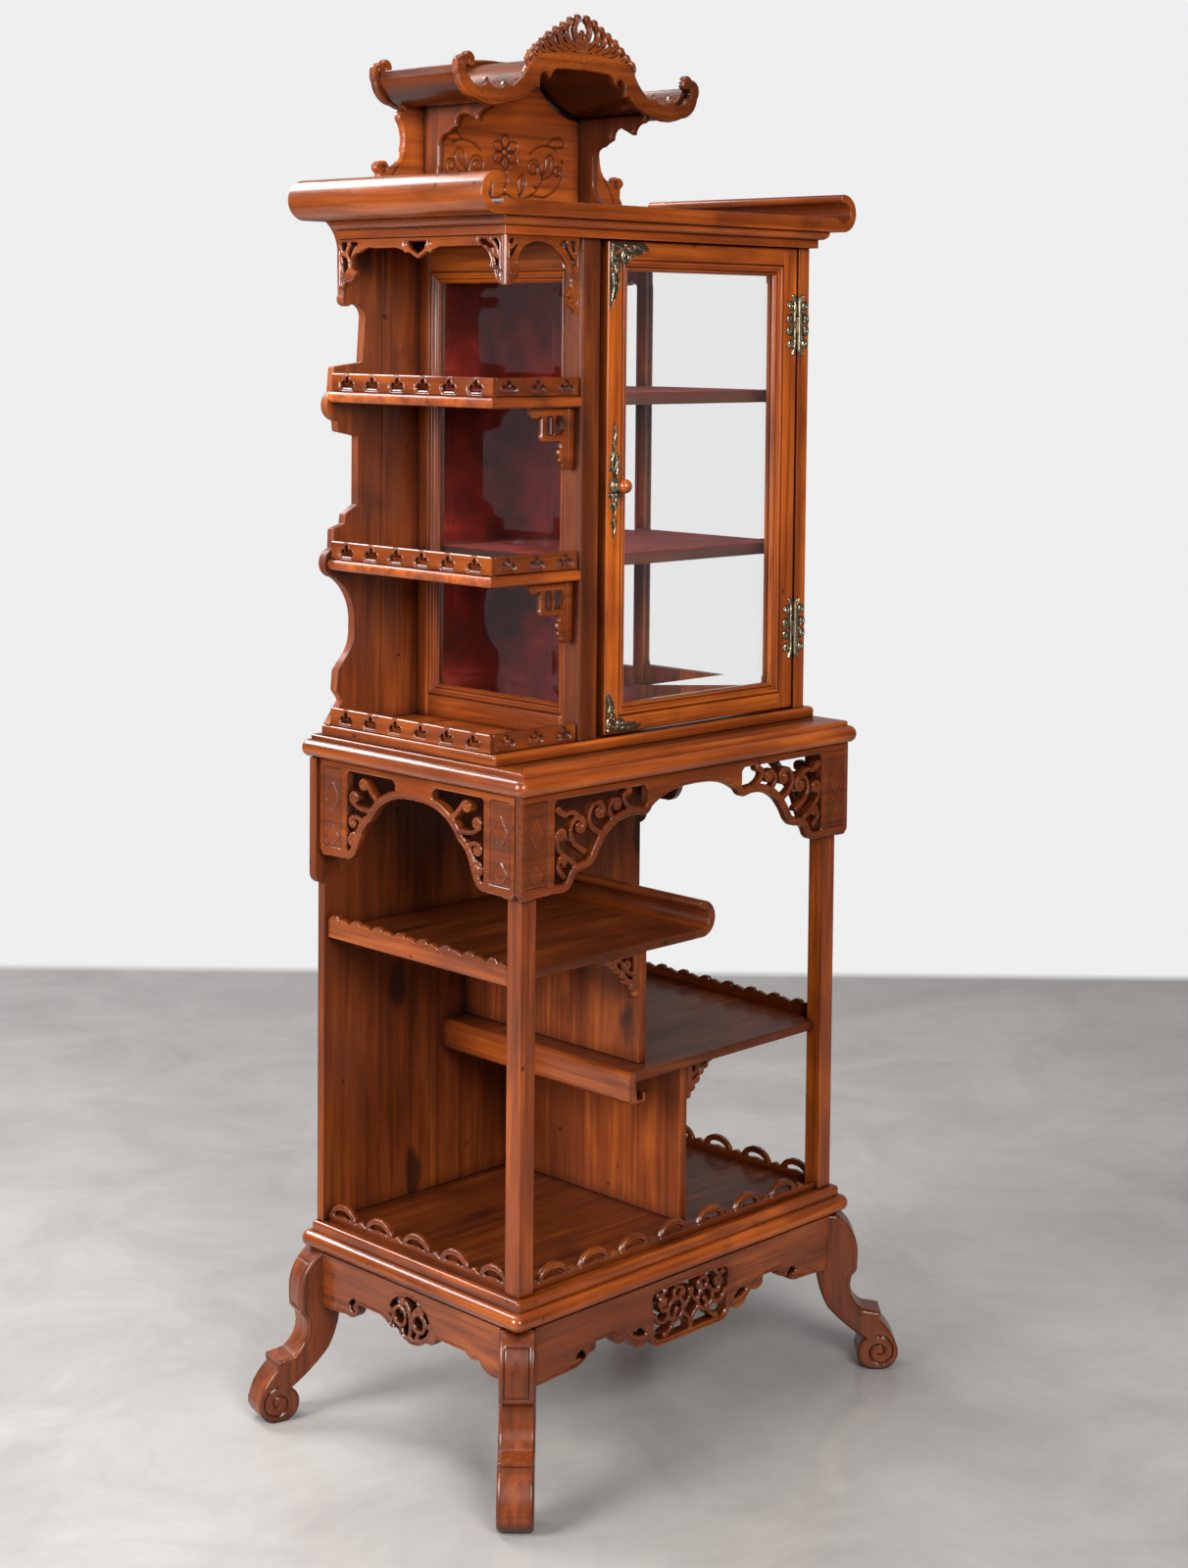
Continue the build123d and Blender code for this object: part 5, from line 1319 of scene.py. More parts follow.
def buildCrest():
    look = shrineLook
    low, high = corners("shrine_crest")
    foot = high[2] - look["crestTall"]
    body = mirroredLine(trace((0, 0), ((56, -3), (106, -26)), (108, -19), ((58, 5), (6, 10)), (0, 7)))
    fronds = [[(2, 2), (9, 16), (15, 33), (9, 47.5)], [(10, 4), (25, 14), (31, 30), (24, 43)],
              [(24, 2), (39, 10), (45, 24), (38, 35)], [(38, 0), (53, 6), (59, 17), (52, 28)],
              [(52, -3), (67, 1), (73, 10), (66, 20)], [(66, -8), (79, -5), (85, 2), (79, 10)],
              [(80, -14), (91, -11), (96, -6), (91, 1)], [(92, -20), (101, -18), (105, -14), (102, -8)]]
    fronds = [smooth(points) for points in fronds]
    balls = [(*frond[-1], 6.5 - 0.22 * n) for n, frond in enumerate(fronds)]
    links = [scroll((0, 8), (4, 22), (0, 30)), scroll((30, 16), (36, 22)), scroll((60, 8), (66, 12))]

    def field(u, v):
        x = np.abs(u)
        leaves = [strandField(x, v, frond, 6.0, 5.2, 4.2) for frond in fronds]
        ties = [strandField(x, v, link, 3.0, 3.0) for link in links]
        return unionOf(shapeField(u, v, body), *leaves, *ties,
                       *[np.hypot(x - a, v - b) - r for a, b, r in balls])

    def relief(u, v, depth):
        x = np.abs(u)
        domes = sum(1.6 * bell(np.hypot(x - a, v - b), 0, 0.7 * r) for a, b, r in balls)
        return np.maximum(domes + cutsAlong(x, v, fronds, 0.9, 1.8), -cutLimit)
    box = (low[0], high[0]), (low[2] - foot, look["crestTall"])
    piece = carvedBoard("shrine_crest_carved", field, box, look["crestStep"], look["crestThick"],
                        facing("front", high[1], 0, foot), relief, 3.0, True)
    dress(piece, "carvedX", "shrine_crest")


def buildCheek(name, side, back):
    look = shrineLook
    low, high = corners("shrine_side_panels")
    front, tall = low[1] - 21, look["cheekTall"]
    outline = trace((high[1] - front, 0), (66, 0), (70, 12), (89, 18), ((122, 32), (128, 62)), (128, 88),
                    ((124, 100), (110, 106)), ((104, 110), (92, 115)), ((80, 132), (69, 130)),
                    ((60, 126), (48, 120)), ((40, 134), (33, 137)), ((24, 140), (21, tall)),
                    (high[1] - front, tall))
    cuts = [scroll((60, 4), (64, 20), (84, 26), (106, 34), (118, 52), (119, 86), (104, 98), (88, 106),
                   curl=(76, 122, 6, -60, 1.1)),
            spiral(48, 130, 5, 1.5, 0, 1.3)]
    outline, cuts = handed(-1 if side == "left" else 1, outline, cuts)

    field = shapeOf(outline)

    def relief(u, v, depth):
        return cutsAlong(u, v, cuts, 0.8, 0.8)
    box = (outline.min(0)[0], outline.max(0)[0]), (0, tall)
    piece = carvedBoard(name, field, box, 1.8, look["board"], facing(side, back, front, shrineBase), relief,
                        look["rounding"], True)
    dress(piece, "carvedZ", "shrine_side_panels")


def flowerScrolls():
    # A blossom on a stem between two leafy scrolls.
    petals = []
    for turn in range(6):
        angle = math.radians(60 * turn + 30)
        a, b = 26 * math.cos(angle), 26 * math.sin(angle)
        left, right = angle + 0.42, angle - 0.42
        petals.append(scroll((7 * math.cos(left), 7 * math.sin(left)),
                             (19 * math.cos(left), 19 * math.sin(left)),
                             (a, b), (19 * math.cos(right), 19 * math.sin(right)),
                             (7 * math.cos(right), 7 * math.sin(right))))
    lines = [shifted(petal, 0, 92) for petal in petals] + [shifted(spiral(0, 0, 6, 6, 0, 1), 0, 92)]
    lines += [scroll((0, 64), (4, 50), (-3, 38), (0, 26))]
    side = [scroll((0, 32), (26, 24), (56, 34), (74, 54), (70, 74), curl=(56, 72, 14, 8, 1.4)),
            scroll((52, 32), (78, 30), (104, 44), (116, 62), curl=(106, 68, 10, -30, 1.3)),
            scroll((74, 56), (92, 62), (100, 78), (94, 92), (82, 88), (80, 74), (74, 62)),
            scroll((76, 62), (88, 74), (92, 84)),
            scroll((28, 26), (40, 46), (36, 60), (26, 54), (26, 40), (28, 28)),
            scroll((30, 32), (35, 46), (34, 54)), scroll((48, 92), (64, 102), (86, 106), (104, 100)),
            scroll((86, 106), (96, 116), (112, 118), (120, 108), (108, 104), (98, 104))]
    return lines + bothWays(side)


def buildShrineBack():
    look = shrineLook
    high = corners("shrine_back_panel")[1]
    outline = mirroredLine(trace((0, 0), (244, 0), ((247, 18), (240, 36)), (241, 50), ((246, 62), (236, 66)),
                                 ((226, 66), (222, 58)), ((206, 66), (197, 84)), ((196, 108), (201, 122)),
                                 ((204, 134), (194, 140)), (204, 150), (160, 146), ((112, 156), (78, 180)),
                                 ((44, 198), (0, 201))))
    lines = flowerScrolls()
    rims = bothWays([spiral(232, 56, 6, 1.6, 60, 1.3), scroll((232, 8), (226, 30), (214, 50), (204, 62))])

    field = shapeOf(outline)

    def relief(u, v, depth):
        return np.maximum(cutsAlong(u, v, lines + rims, 1.7, look["engrave"]), -2.2)
    box = (-247.0, 247.0), (0.0, 201.0)
    piece = carvedBoard("shrine_back_panel_carved", field, box, 1.35, look["board"],
                        facing("front", high[1], 0, shrineBase), relief, 2.6)
    dress(piece, "panelX", "shrine_back_panel")


gableLow, gableHigh = corners("shrine_gables")
buildGable("shrine_gable_front", gableLow[1] + shrineLook["board"])
buildGable("shrine_gable_rear", gableHigh[1])
buildCrest()
cheekLow, cheekHigh = corners("shrine_side_panels")
buildCheek("shrine_cheek_left", "left", cheekLow[0] + shrineLook["board"])
buildCheek("shrine_cheek_right", "right", cheekHigh[0] - shrineLook["board"])
buildShrineBack()
print("shrine carved")


# Frames with mouldings and bevelled glass.

paneLook = {"bevel": 20.0, "thinEdge": 1.7, "thickness": 4.0}
sideBorder = {"front": 10.0, "rear": 41.0, "low": 47.0, "high": 58.0, "rightFront": 26.0, "rightRear": 18.0}
frameWidth = 16.0


def beadArc(start, end, low, high, steps=8):
    # Half-round from one place to another across the moulding: low at both ends, high in the middle.
    turn = np.linspace(0, math.pi, steps + 1)
    across = (start + end) / 2 + (start - end) / 2 * np.cos(turn)
    return [(x, low + (high - low) * s) for x, s in zip(across, np.sin(turn))]


# Across the moulding (0 at the glass, 1 at the flat board) and up from its back, as shares.
frameMoulding = np.array([(1, 0), (1, 0.97), (0.965, 0.88), *beadArc(0.93, 0.62, 0.88, 0.995), (0.60, 0.83),
                          (0.50, 0.815), (0.42, 0.79), (0.38, 0.735), *beadArc(0.35, 0.12, 0.70, 0.78),
                          (0.10, 0.64), (0, 0.58), (0, 0)])


def prisms(name, sections, sharp=32):
    # Bars given as cross-sections (ends, points, 3) in metres: walls between them and a cap on each end.
    points, faces, count = [], [], 0
    for section in sections:
        ends, m = section.shape[:2]
        points.append(section.reshape(-1, 3))
        for row in range(ends - 1):
            a, b = count + row * m, count + (row + 1) * m
            faces += [(a + i, a + (i + 1) % m, b + (i + 1) % m, b + i) for i in range(m)]
        faces.append(tuple(count + i for i in range(m))[::-1])
        faces.append(tuple(count + (ends - 1) * m + i for i in range(m)))
        count += ends * m
    mesh = bpy.data.meshes.new(name)
    mesh.from_pydata(np.concatenate(points).tolist(), [], faces)
    facesOutward(mesh)
    shadeSmooth(mesh, sharp)
    return newPiece(name, mesh)


def onPlane(plane, a, b, w):
    origin, across, up, out = plane
    return origin + mm * (np.multiply.outer(a, across) + np.multiply.outer(b, up) + np.multiply.outer(w, out))


def mouldingRing(name, opening, widths, depth, plane):
    # Four mitred lengths round an opening; the profile's first number runs outwards from the glass.
    (a0, b0), (a1, b1) = opening
    left, low, right, high = widths
    s, w = frameMoulding[:, 0], frameMoulding[:, 1] * depth

    def bar(a, b, c, d):
        return np.stack([onPlane(plane, a, b, w), onPlane(plane, c, d, w)])
    uprights = [bar(a0 - s * left, b0 - s * low, a0 - s * left, b1 + s * high),
                bar(a1 + s * right, b0 - s * low, a1 + s * right, b1 + s * high)]
    across = [bar(a0 - s * left, b0 - s * low, a1 + s * right, b0 - s * low),
              bar(a0 - s * left, b1 + s * high, a1 + s * right, b1 + s * high)]
    return prisms(name + "_upright", uprights), prisms(name + "_across", across)


def flatBoard(name, low, high, thickness, plane, step=4.0, rounding=1.3, hole=None):
    def field(u, v):
        solid = np.maximum.reduce([low[0] - u, u - high[0], low[1] - v, v - high[1]])
        return np.maximum(solid, hole[2] - np.hypot(u - hole[0], v - hole[1])) if hole else solid
    return carvedBoard(name, field, ((low[0], high[0]), (low[1], high[1])), step, thickness, plane, None,
                       rounding)


def bevelledPane(name, low, high, thickness, plane):
    # A plate whose four edges slope down to a thin rim in front.
    rim, b = paneLook["thinEdge"], paneLook["bevel"]
    corner = np.array([(low[0], low[1]), (high[0], low[1]), (high[0], high[1]), (low[0], high[1])])
    inset = corner + b * np.array([(1, 1), (-1, 1), (-1, -1), (1, -1)])
    rows = [onPlane(plane, corner[:, 0], corner[:, 1], np.zeros(4)),
            onPlane(plane, corner[:, 0], corner[:, 1], np.full(4, rim)),
            onPlane(plane, inset[:, 0], inset[:, 1], np.full(4, thickness))]
    return prisms(name, [np.stack(rows)], 4)


def buildDoorFrame():
    low, high = corners("door_frame")
    glassLow, glassHigh = corners("door_glass")
    plane = facing("front", high[1])
    deep = high[1] - low[1]
    inLow, inHigh = (glassLow[0], glassLow[2]), (glassHigh[0], glassHigh[2])
    m = frameWidth
    knobX, knobZ = (corners("door_knob")[0] + corners("door_knob")[1])[[0, 2]] / 2
    boards = {
        "door_stile_left": ((low[0], low[2]), (inLow[0] - m, high[2]), "doorZ", 1.5, (knobX, knobZ, 3.05)),
        "door_stile_right": ((inHigh[0] + m, low[2]), (high[0], high[2]), "doorZ", 2.0, None),
        "door_rail_low": ((inLow[0] - m, low[2]), (inHigh[0] + m, inLow[1] - m), "doorX", 2.0, None),
        "door_rail_high": ((inLow[0] - m, inHigh[1] + m), (inHigh[0] + m, high[2]), "doorX", 2.0, None),
    }
    for name, (a, b, finish, step, hole) in boards.items():
        piece = flatBoard(name, a, b, deep, plane, step, 1.2, hole)
        dress(piece, finish, "door_frame")
    upright, across = mouldingRing("door_moulding", (inLow, inHigh), (m, m, m, m), deep, plane)
    dress(upright, "doorZ", "door_frame")
    dress(across, "doorX", "door_frame")
    pane = bevelledPane("door_pane", inLow, inHigh, glassHigh[1] - glassLow[1], facing("front", glassHigh[1]))
    dress(pane, "glass", "door_glass")


def buildSideFrame():
    # The left wall looks into the open bay; the right pane has the same bevel.
    low, high = corners("side_frame_left")
    deep = high[0] - low[0]
    glassLow, glassHigh = corners("side_glass")
    border, thick = sideBorder, paneLook["thickness"]
    openY = low[1] + border["front"], high[1] - border["rear"]
    openZ = low[2] + border["low"], high[2] - border["high"]
    plane = facing("left", high[0], 0, 0)
    a0, a1 = -openY[1], -openY[0]
    m = frameWidth
    boards = {
        "side_stile_rear": ((-high[1], low[2]), (a0 - m, high[2]), "frontZ"),
        "side_rail_low": ((a0 - m, low[2]), (-low[1], openZ[0] - m), "sideY"),
        "side_rail_high": ((a0 - m, openZ[1] + m), (-low[1], high[2]), "sideY"),
    }
    for name, (a, b, finish) in boards.items():
        piece = flatBoard(name, a, b, deep, plane, 3.0, 1.0)
        dress(piece, finish, "side_frame_left")
    rings = mouldingRing("side_moulding", ((a0, openZ[0]), (a1, openZ[1])), (m, m, border["front"], m), deep,
                         plane)
    for piece, finish in zip(rings, ("frontZ", "sideY")):
        dress(piece, finish, "side_frame_left")
    left = bevelledPane("side_pane_left", (a0, openZ[0]), (a1, openZ[1]), thick,
                        facing("left", glassLow[0] + thick))
    rightLow, rightHigh = corners("case_posts_right")
    rightY = rightLow[1] + border["rightFront"], rightHigh[1] - border["rightRear"]
    right = bevelledPane("side_pane_right", (rightY[0], glassLow[2]), (rightY[1], glassHigh[2]), thick,
                         facing("right", glassHigh[0] - thick))
    for piece in (left, right):
        dress(piece, "glass", "side_glass")


buildDoorFrame()
buildSideFrame()
print("frames and panes built")


# Brass mounts, hinges and the knob.

brassShape = {"step": 0.7, "plate": 1.4, "rounding": 1.0, "mountInset": 2}


def leafy(u, v, ribs, height):
    return sum(ridge(u, v, rib, (2.2, 0.9), height) for rib in ribs)


def buildMount(name, origin, scaleU, scaleV):
    plate = trace((0, 0), (48, 0), ((52, -5), (48, -10)), ((44, -16), (38, -14)), ((24, -26), (20, -30)),
                  ((20, -38), (13, -42)), ((8, -50), (2, -48)), (0, -46))
    leaves = [(scroll((44, -5), (56, -8), (66, -6), (75, -10)), (9.0, 7.0, 1.6)),
              (scroll((6, -42), (9, -56), (5, -70), (3, -89)), (10.0, 8.0, 1.6))]
    lobes = [(30, -19, 10.0), (52, -13, 4.4), (61, -12, 3.6), (15, -52, 4.4), (13.5, -63, 3.8),
             (11, -74, 2.6), (44, -17, 3)]
    ribs = [spiral(30, -19, 7.5, 3.0, 90, 1.3), scroll((4, -4), (18, -6), (24, -12)),
            scroll((4, -4), (8, -20), (18, -22)), scroll((38, -8), (48, -4), (60, -8), (73, -10)),
            scroll((30, -4), (38, -10), (46, -10), curl=(46, -6, 3, -90, 0.9)),
            scroll((10, -30), (6, -44), (8, -60), (4, -76), (3, -87)),
            scroll((20, -32), (12, -38), (8, -48), (13, -56)),
            scroll((3, -12), (4, -26), (9, -34), curl=(12, -38, 3, 60, 0.9))]

    def field(u, v):
        a, b = u / scaleU, v / scaleV
        shapes = [shapeField(a, b, plate)] + [strandField(a, b, line, *widths) for line, widths in leaves]
        shapes += [np.hypot(a - x, b - y) - r for x, y, r in lobes]
        holes = [ovalField(a, b, *oval)
                 for oval in ((40, -6.5, 7, 3.5, 20), (15, -30, 4, 8, 20), (15, -13, 11, 4.5, 40),
                              (5, -37, 9, 3, 80), (29, -7.5, 7, 3, 8))]
        return np.maximum(cutOf(unionOf(*shapes), *holes), np.maximum(-a, b)) * min(scaleU, abs(scaleV))

    def relief(u, v, depth):
        a, b = u / scaleU, v / scaleV
        raised = leafy(a, b, ribs, 1.0)
        return raised - 0.45 * (raised < 0.12)
    box = between(0, 75 * scaleU), between(0, -90 * scaleV)
    piece = carvedBoard(name, field, box, brassShape["step"], brassShape["plate"],
                        facing("front", corners("door_frame")[0][1], origin[0], origin[1]), relief,
                        brassShape["rounding"])
    dress(piece, "brass", "door_corner_mounts")


def buildEscutcheon():
    low, high = corners("door_escutcheon")
    middle = (corners("door_knob")[0] + corners("door_knob")[1]) / 2
    x, z, top, bottom = middle[0], middle[2], high[2] - middle[2], low[2] - middle[2]
    spine = scroll((0, top), (1, top - 16), (-1, top - 30), (0, 40), (0, -40))
    ovals = [(0.5, top - 13, 26, 7.5, 92), (-0.5, top - 30, 20, 8.0, 84), (0, 30, 38, 15.0, 96),
             (0, 0, 21, 19.0, 90), (0.5, -21, 26, 12.0, 84), (-0.5, -36, 14, 6.5, 96), (0, -56, 24, 8.5, 95),
             (0, bottom + 5, 12, 4.2, 90)]
    lobes = [(3, top - 20, 2.6), (6.5, 37, 3.2), (8, 23, 3.4), (7.6, -13, 3.8), (5, -27, 3.2),
             (3.6, -50, 2.8)]
    ribs = [scroll((0, top - 2), (2, top - 12), (-1, top - 24), (1, top - 38)),
            scroll((-5, 22), (-5, 34), (0, 44), (4, 36), (2, 26), (-2, 20)),
            scroll((5, 16), (6, 28), (2, 40)), spiral(0, 0, 8.2, 8.2, 0, 1),
            scroll((-4, -12), (-3, -22), (3, -30), (0, -40)), scroll((4, -12), (3, -20), (-2, -26)),
            scroll((0, -46), (2, -56), (-1, -66), (0, -72))]

    def field(u, v):
        shapes = [ovalField(u, v, *oval) for oval in ovals] + [strandField(u, v, spine, 2.0, 3.4, 2.0)]
        shapes += [np.hypot(np.abs(u) - x, v - y) - r for x, y, r in lobes]
        hole = np.hypot(u, v) - 3.1
        return cutOf(unionOf(*shapes), hole)

    def relief(u, v, depth):
        raised = leafy(u, v, ribs, 1.0)
        return (raised - 0.45 * (raised < 0.12)) * softStep(np.hypot(u, v), 6.5, 8)
    piece = carvedBoard("door_escutcheon_chased", field, ((-11.5, 11.5), (bottom, top)), 0.6,
                        brassShape["plate"], facing("front", corners("door_frame")[0][1], x, z), relief,
                        brassShape["rounding"])
    dress(piece, "brass", "door_escutcheon")


def turned(name, profile, centre, axis, count=48, closed=False):
    # Surface of revolution: radius and height along the axis; zero radius at an end makes a pole.
    profile = np.asarray(profile, float)
    axis = np.asarray(axis, float)
    side = np.array([1.0, 0, 0])
    other = np.cross(axis, side)
    ring = 2 * math.pi * np.arange(count) / count
    poleStart, poleEnd = profile[0, 0] == 0 and not closed, profile[-1, 0] == 0 and not closed
    body = profile[1 if poleStart else 0:len(profile) - (1 if poleEnd else 0)]
    circle = np.outer(np.cos(ring), side) + np.outer(np.sin(ring), other)
    points = body[:, 0, None, None] * circle[None] + body[:, 1, None, None] * axis
    points = points.reshape(-1, 3)
    rows = len(body)
    number = np.arange(rows * count).reshape(rows, count)
    after = np.roll(number, -1, 1)
    quads = np.stack([number[:-1], number[1:], after[1:], after[:-1]], axis=-1).reshape(-1, 4)
    if closed:
        quads = np.concatenate([quads, np.stack([number[-1], number[0], after[0], after[-1]], axis=-1)])
    triangles = []
    if poleStart:
        triangles.append(np.stack([np.full(count, len(points)), number[0], after[0]], axis=-1))
        points = np.concatenate([points, [profile[0, 1] * axis]])
    if poleEnd:
        triangles.append(np.stack([np.full(count, len(points)), after[-1], number[-1]], axis=-1))
        points = np.concatenate([points, [profile[-1, 1] * axis]])
    triangles = np.concatenate(triangles) if triangles else ()
    piece = makeMesh(name, mm * (points + np.asarray(centre, float)), quads, triangles)
    facesOutward(piece.data)
    return piece


hingeLook = {"knuckle": 2.8, "knuckleHeight": 36.96, "bore": 1.3}


def buildHingeLeaf(name, node, sign, axisX, level, middle):
    front = corners("door_frame")[0][1]
    third = hingeLook["knuckleHeight"] / 3
    ovals = [(14, 27, 19, 13, 20), (17, 9, 19, 14, -15), (17, -9, 19, 14, 15), (14, -27, 19, 13, -20),
             (8, 38.5, 15, 8, 55), (8, -38.5, 15, 8, -55), (4.5, 34, 8, 7, 0), (4.5, -34, 8, 7, 0)]
    ribs = [spiral(16, 27, 5, 2, 60, 1.2), spiral(18, 9, 5, 2, -120, 1.2), spiral(18, -9, 5, 2, 120, -1.2),
            spiral(16, -27, 5, 2, -60, -1.2), scroll((6, 30), (8, 36), (11, 42)),
            scroll((6, -30), (8, -36), (11, -42)), np.array([(6.5, 27), (6.5, -27)])]

    def field(u, v):
        x = u * sign
        plate = np.maximum(np.abs(v) - 33, np.maximum(3.3 - x, x - 13))
        neck = np.abs(v) - (third - 0.8) if middle else np.abs(np.abs(v) - 2 * third) - (third - 0.8)
        neck = np.maximum(neck, np.maximum(1.2 - x, x - 4))
        shapes = unionOf(plate, np.maximum(unionOf(*[ovalField(x, v, *oval) for oval in ovals]), 3.3 - x),
                         neck)
        holes = [np.hypot(x - 9, v - z) - 1.3 for z in (-20, 0, 20)]
        return cutOf(shapes, *holes)

    def relief(u, v, depth):
        raised = leafy(u * sign, v, ribs, 0.9)
        return raised - 0.4 * (raised < 0.12) * (u * sign > 8)
    box = between(sign * 1.2, sign * 24.2), (-43.5, 43.5)
    piece = carvedBoard(name, field, box, brassShape["step"], brassShape["plate"],
                        facing("front", front, axisX, level), relief, brassShape["rounding"])
    dress(piece, "brass", node)
    pin = (corners("hinge_pins")[0] + corners("hinge_pins")[1]) / 2
    r, bore = hingeLook["knuckle"], hingeLook["bore"]
    spans = [(-third + 0.3, third - 0.3)] if middle else [(-3 * third, -third), (third, 3 * third)]
    for number, (low, high) in enumerate(spans):
        tube = [(bore, low), (r - 0.5, low), (r, low + 0.5), (r, high - 0.5), (r - 0.5, high), (bore, high)]
        knuckle = turned(f"{name}_knuckle_{number + 1}", tube, (pin[0], pin[1], level), (0, 0, 1), 24, True)
        dress(knuckle, "brass", node)


def buildBrass():
    doorLow, doorHigh = corners("door_frame")
    inset = brassShape["mountInset"]
    buildMount("door_mount_upper", (doorLow[0] + inset, doorHigh[2] - inset), 1.0, 1.0)
    buildMount("door_mount_lower", (doorLow[0] + inset, doorLow[2] + inset), 0.93, -0.63)
    buildEscutcheon()
    pins = (corners("hinge_pins")[0] + corners("hinge_pins")[1]) / 2
    half = (corners("hinge_pins")[1][2] - corners("hinge_pins")[0][2]) / 2 - hingeLook["knuckleHeight"] - 2
    for name, level in (("lower", pins[2] - half), ("upper", pins[2] + half)):
        buildHingeLeaf(f"hinge_{name}_door", "hinge_door_leaves", -1, pins[0], level, True)
        buildHingeLeaf(f"hinge_{name}_post", "hinge_post_leaves", 1, pins[0], level, False)


def buildKnob():
    low, high = corners("door_knob")
    x, z = (low[0] + high[0]) / 2, (low[2] + high[2]) / 2
    tip, rose, end = low[1], corners("door_frame")[0][1] - 1.7, high[1]
    ball = tip + 11.8
    angle = np.radians(np.linspace(-78, 62, 22))
    profile = [(0, tip), (1.3, tip + 0.35), (2.0, tip + 1.3), (1.9, tip + 2.4)]
    profile += [(9.5 * math.cos(a), ball + 9.0 * math.sin(a)) for a in angle]
    profile += [(3.6, ball + 8.6), (0, ball + 8.6)]
    knob = turned("door_knob_ball", profile, (x, 0, z), (0, 1, 0), 64)
    dress(knob, "knobWood", "door_knob")
    profile = [(0, ball + 8.4), (3.7, ball + 8.4), (3.4, ball + 11), (4.2, ball + 12.2), (5.4, ball + 13.2),
               (5.4, ball + 14.4), (4.0, ball + 15.2), (4.3, rose - 2.2), (6.6, rose - 1.2),
               (8.0, rose - 0.5), (8.0, rose), (3.0, rose), (3.0, end), (0, end)]
    neck = turned("door_knob_neck", profile, (x, 0, z), (0, 1, 0), 64)
    dress(neck, "brass", "door_knob")


buildBrass()
buildKnob()
print("brass and knob built")


# The remaining boards with worn edges.

wornBoards = {  # finish and width of the worn edge
    "lower_post_left": ("frontZ", 1.2), "lower_post_right": ("frontZ", 1.2),
    "base_moulding": ("frontX", 0.8), "waist_moulding": ("frontX", 0.8), "upper_plinth": ("frontX", 1.2),
    # the left front post takes the darker copy of the post wood: painted shade
    "case_post_front_left": ("shadedPostZ", 1.0), "case_posts_right": ("rightPostZ", 1.0),
    "cornice_moulding": ("frontX", 0.8), "top_slab": ("frontX", 1.2), "shelf_upper": ("boardX", 0.8),
    "shelf_upper_roll": ("boardY", 1.4), "shelf_lower": ("boardX", 0.8),
    "shelf_lower_drop": ("sideY", 0.8), "partition_upper": ("boardZ", 1.2),
    "partition_lower": ("boardZ", 1.2), "bay_shelf_lower": ("frontX", 0.8),
    "bay_shelf_upper": ("frontX", 0.8), "upper_back_boards": ("boardZ", 1.3),
    "lower_back_boards": ("lowBoardZ", 1.2), "shrine_roof": ("roofY", 1.6),
    "side_frame_right": ("boardZ", 1.0), "apron_back": ("frontX", 1.2), "case_shelves": ("boardX", 0.8),
    "base_floor": ("boardX", 0.6),
}
mitredNodes = ("base_moulding", "waist_moulding", "upper_plinth", "cornice_moulding")
slabRoll = 52.0     # the grain turns this far from the slab's rolled ends


def grainAcross(piece, node):
    # A face nearer to the left or right edge than to the front or back belongs to a length that runs back.
    low, high = corners(node)
    middle, half = (low + high)[:2] / 2, (high - low)[:2] / 2
    centres = np.empty(3 * len(piece.data.polygons))
    piece.data.polygons.foreach_get("center", centres)
    toEdge = half - np.abs(centres.reshape(-1, 3)[:, :2] / mm - middle)
    side = toEdge[:, 0] < (toEdge[:, 1] if node in mitredNodes else slabRoll)
    piece.data.materials.append(finishes["sideY"])
    piece.data.polygons.foreach_set("material_index", side.astype(np.int32))


backLook = {
    "seams": {"lower_back_boards": (-120.0, 55.0, 230.0), "upper_back_boards": (-228.0, -50.0, 130.0)},
    "tongueWidth": 8.0, "tongueThick": 3.0,
}


def buildTongues():
    # Bars in the middle of the boards' thickness close the seams between the planks.
    a, b = backLook["tongueWidth"] / 2, backLook["tongueThick"] / 2
    for node, seams in backLook["seams"].items():
        low, high = corners(node)
        middle = (low[1] + high[1]) / 2
        bars = [np.array([[(x - a, middle - b, z), (x + a, middle - b, z), (x + a, middle + b, z),
                           (x - a, middle + b, z)] for z in (low[2] + 1, high[2] - 1)]) * mm for x in seams]
        piece = prisms(node.replace("boards", "tongues"), bars)
        dress(piece, "lowBoardZ", node)


buildTongues()


def buildWorn():
    for node, (finish, width) in wornBoards.items():
        piece = softened(node, width)
        dress(piece, finish, node)
        if node in mitredNodes or node == "top_slab":
            grainAcross(piece, node)


buildWorn()
print("edges worn")


# Stage, light and camera.

lightLook = {
    "ambient": 0.12, "gleam": 0.03, "wall": 0.32, "backdrop": (0.86, 0.86, 0.865, 1),
    "farSide": (0.705, 0.709, 0), "farFade": (0.12, 0.62), "lamps": {
        # place, size, power and colour
        "left_bank": ((-3.2, 0.7, 2.0), 1.6, 165, (1.0, 0.98, 0.97)),
        "front_bank": ((-1.5, -3.3, 2.4), 1.6, 160, (1.0, 0.97, 0.94)),
        "top_bank": ((-0.4, 0.2, 4.2), 1.6, 40, (1.0, 1.0, 1.0)),
        "behind_bank": ((-0.5, 2.8, 3.1), 1.7, 120, (0.97, 0.98, 1.0)),
    },
}
stageLook = {"floor": (0.375, 0.362, 0.35), "radius": 60.0, "sides": 96, "wallAt": 2.585,
             "fade": (0.89, 0.915), "roughness": 0.16}
cameraLook = {"place": (-2.4986, -2.4759, 1.52), "yaw": 44.83, "tilt": 3.05, "roll": 0.54, "lens": 57.257,
              "shift": -0.2037}


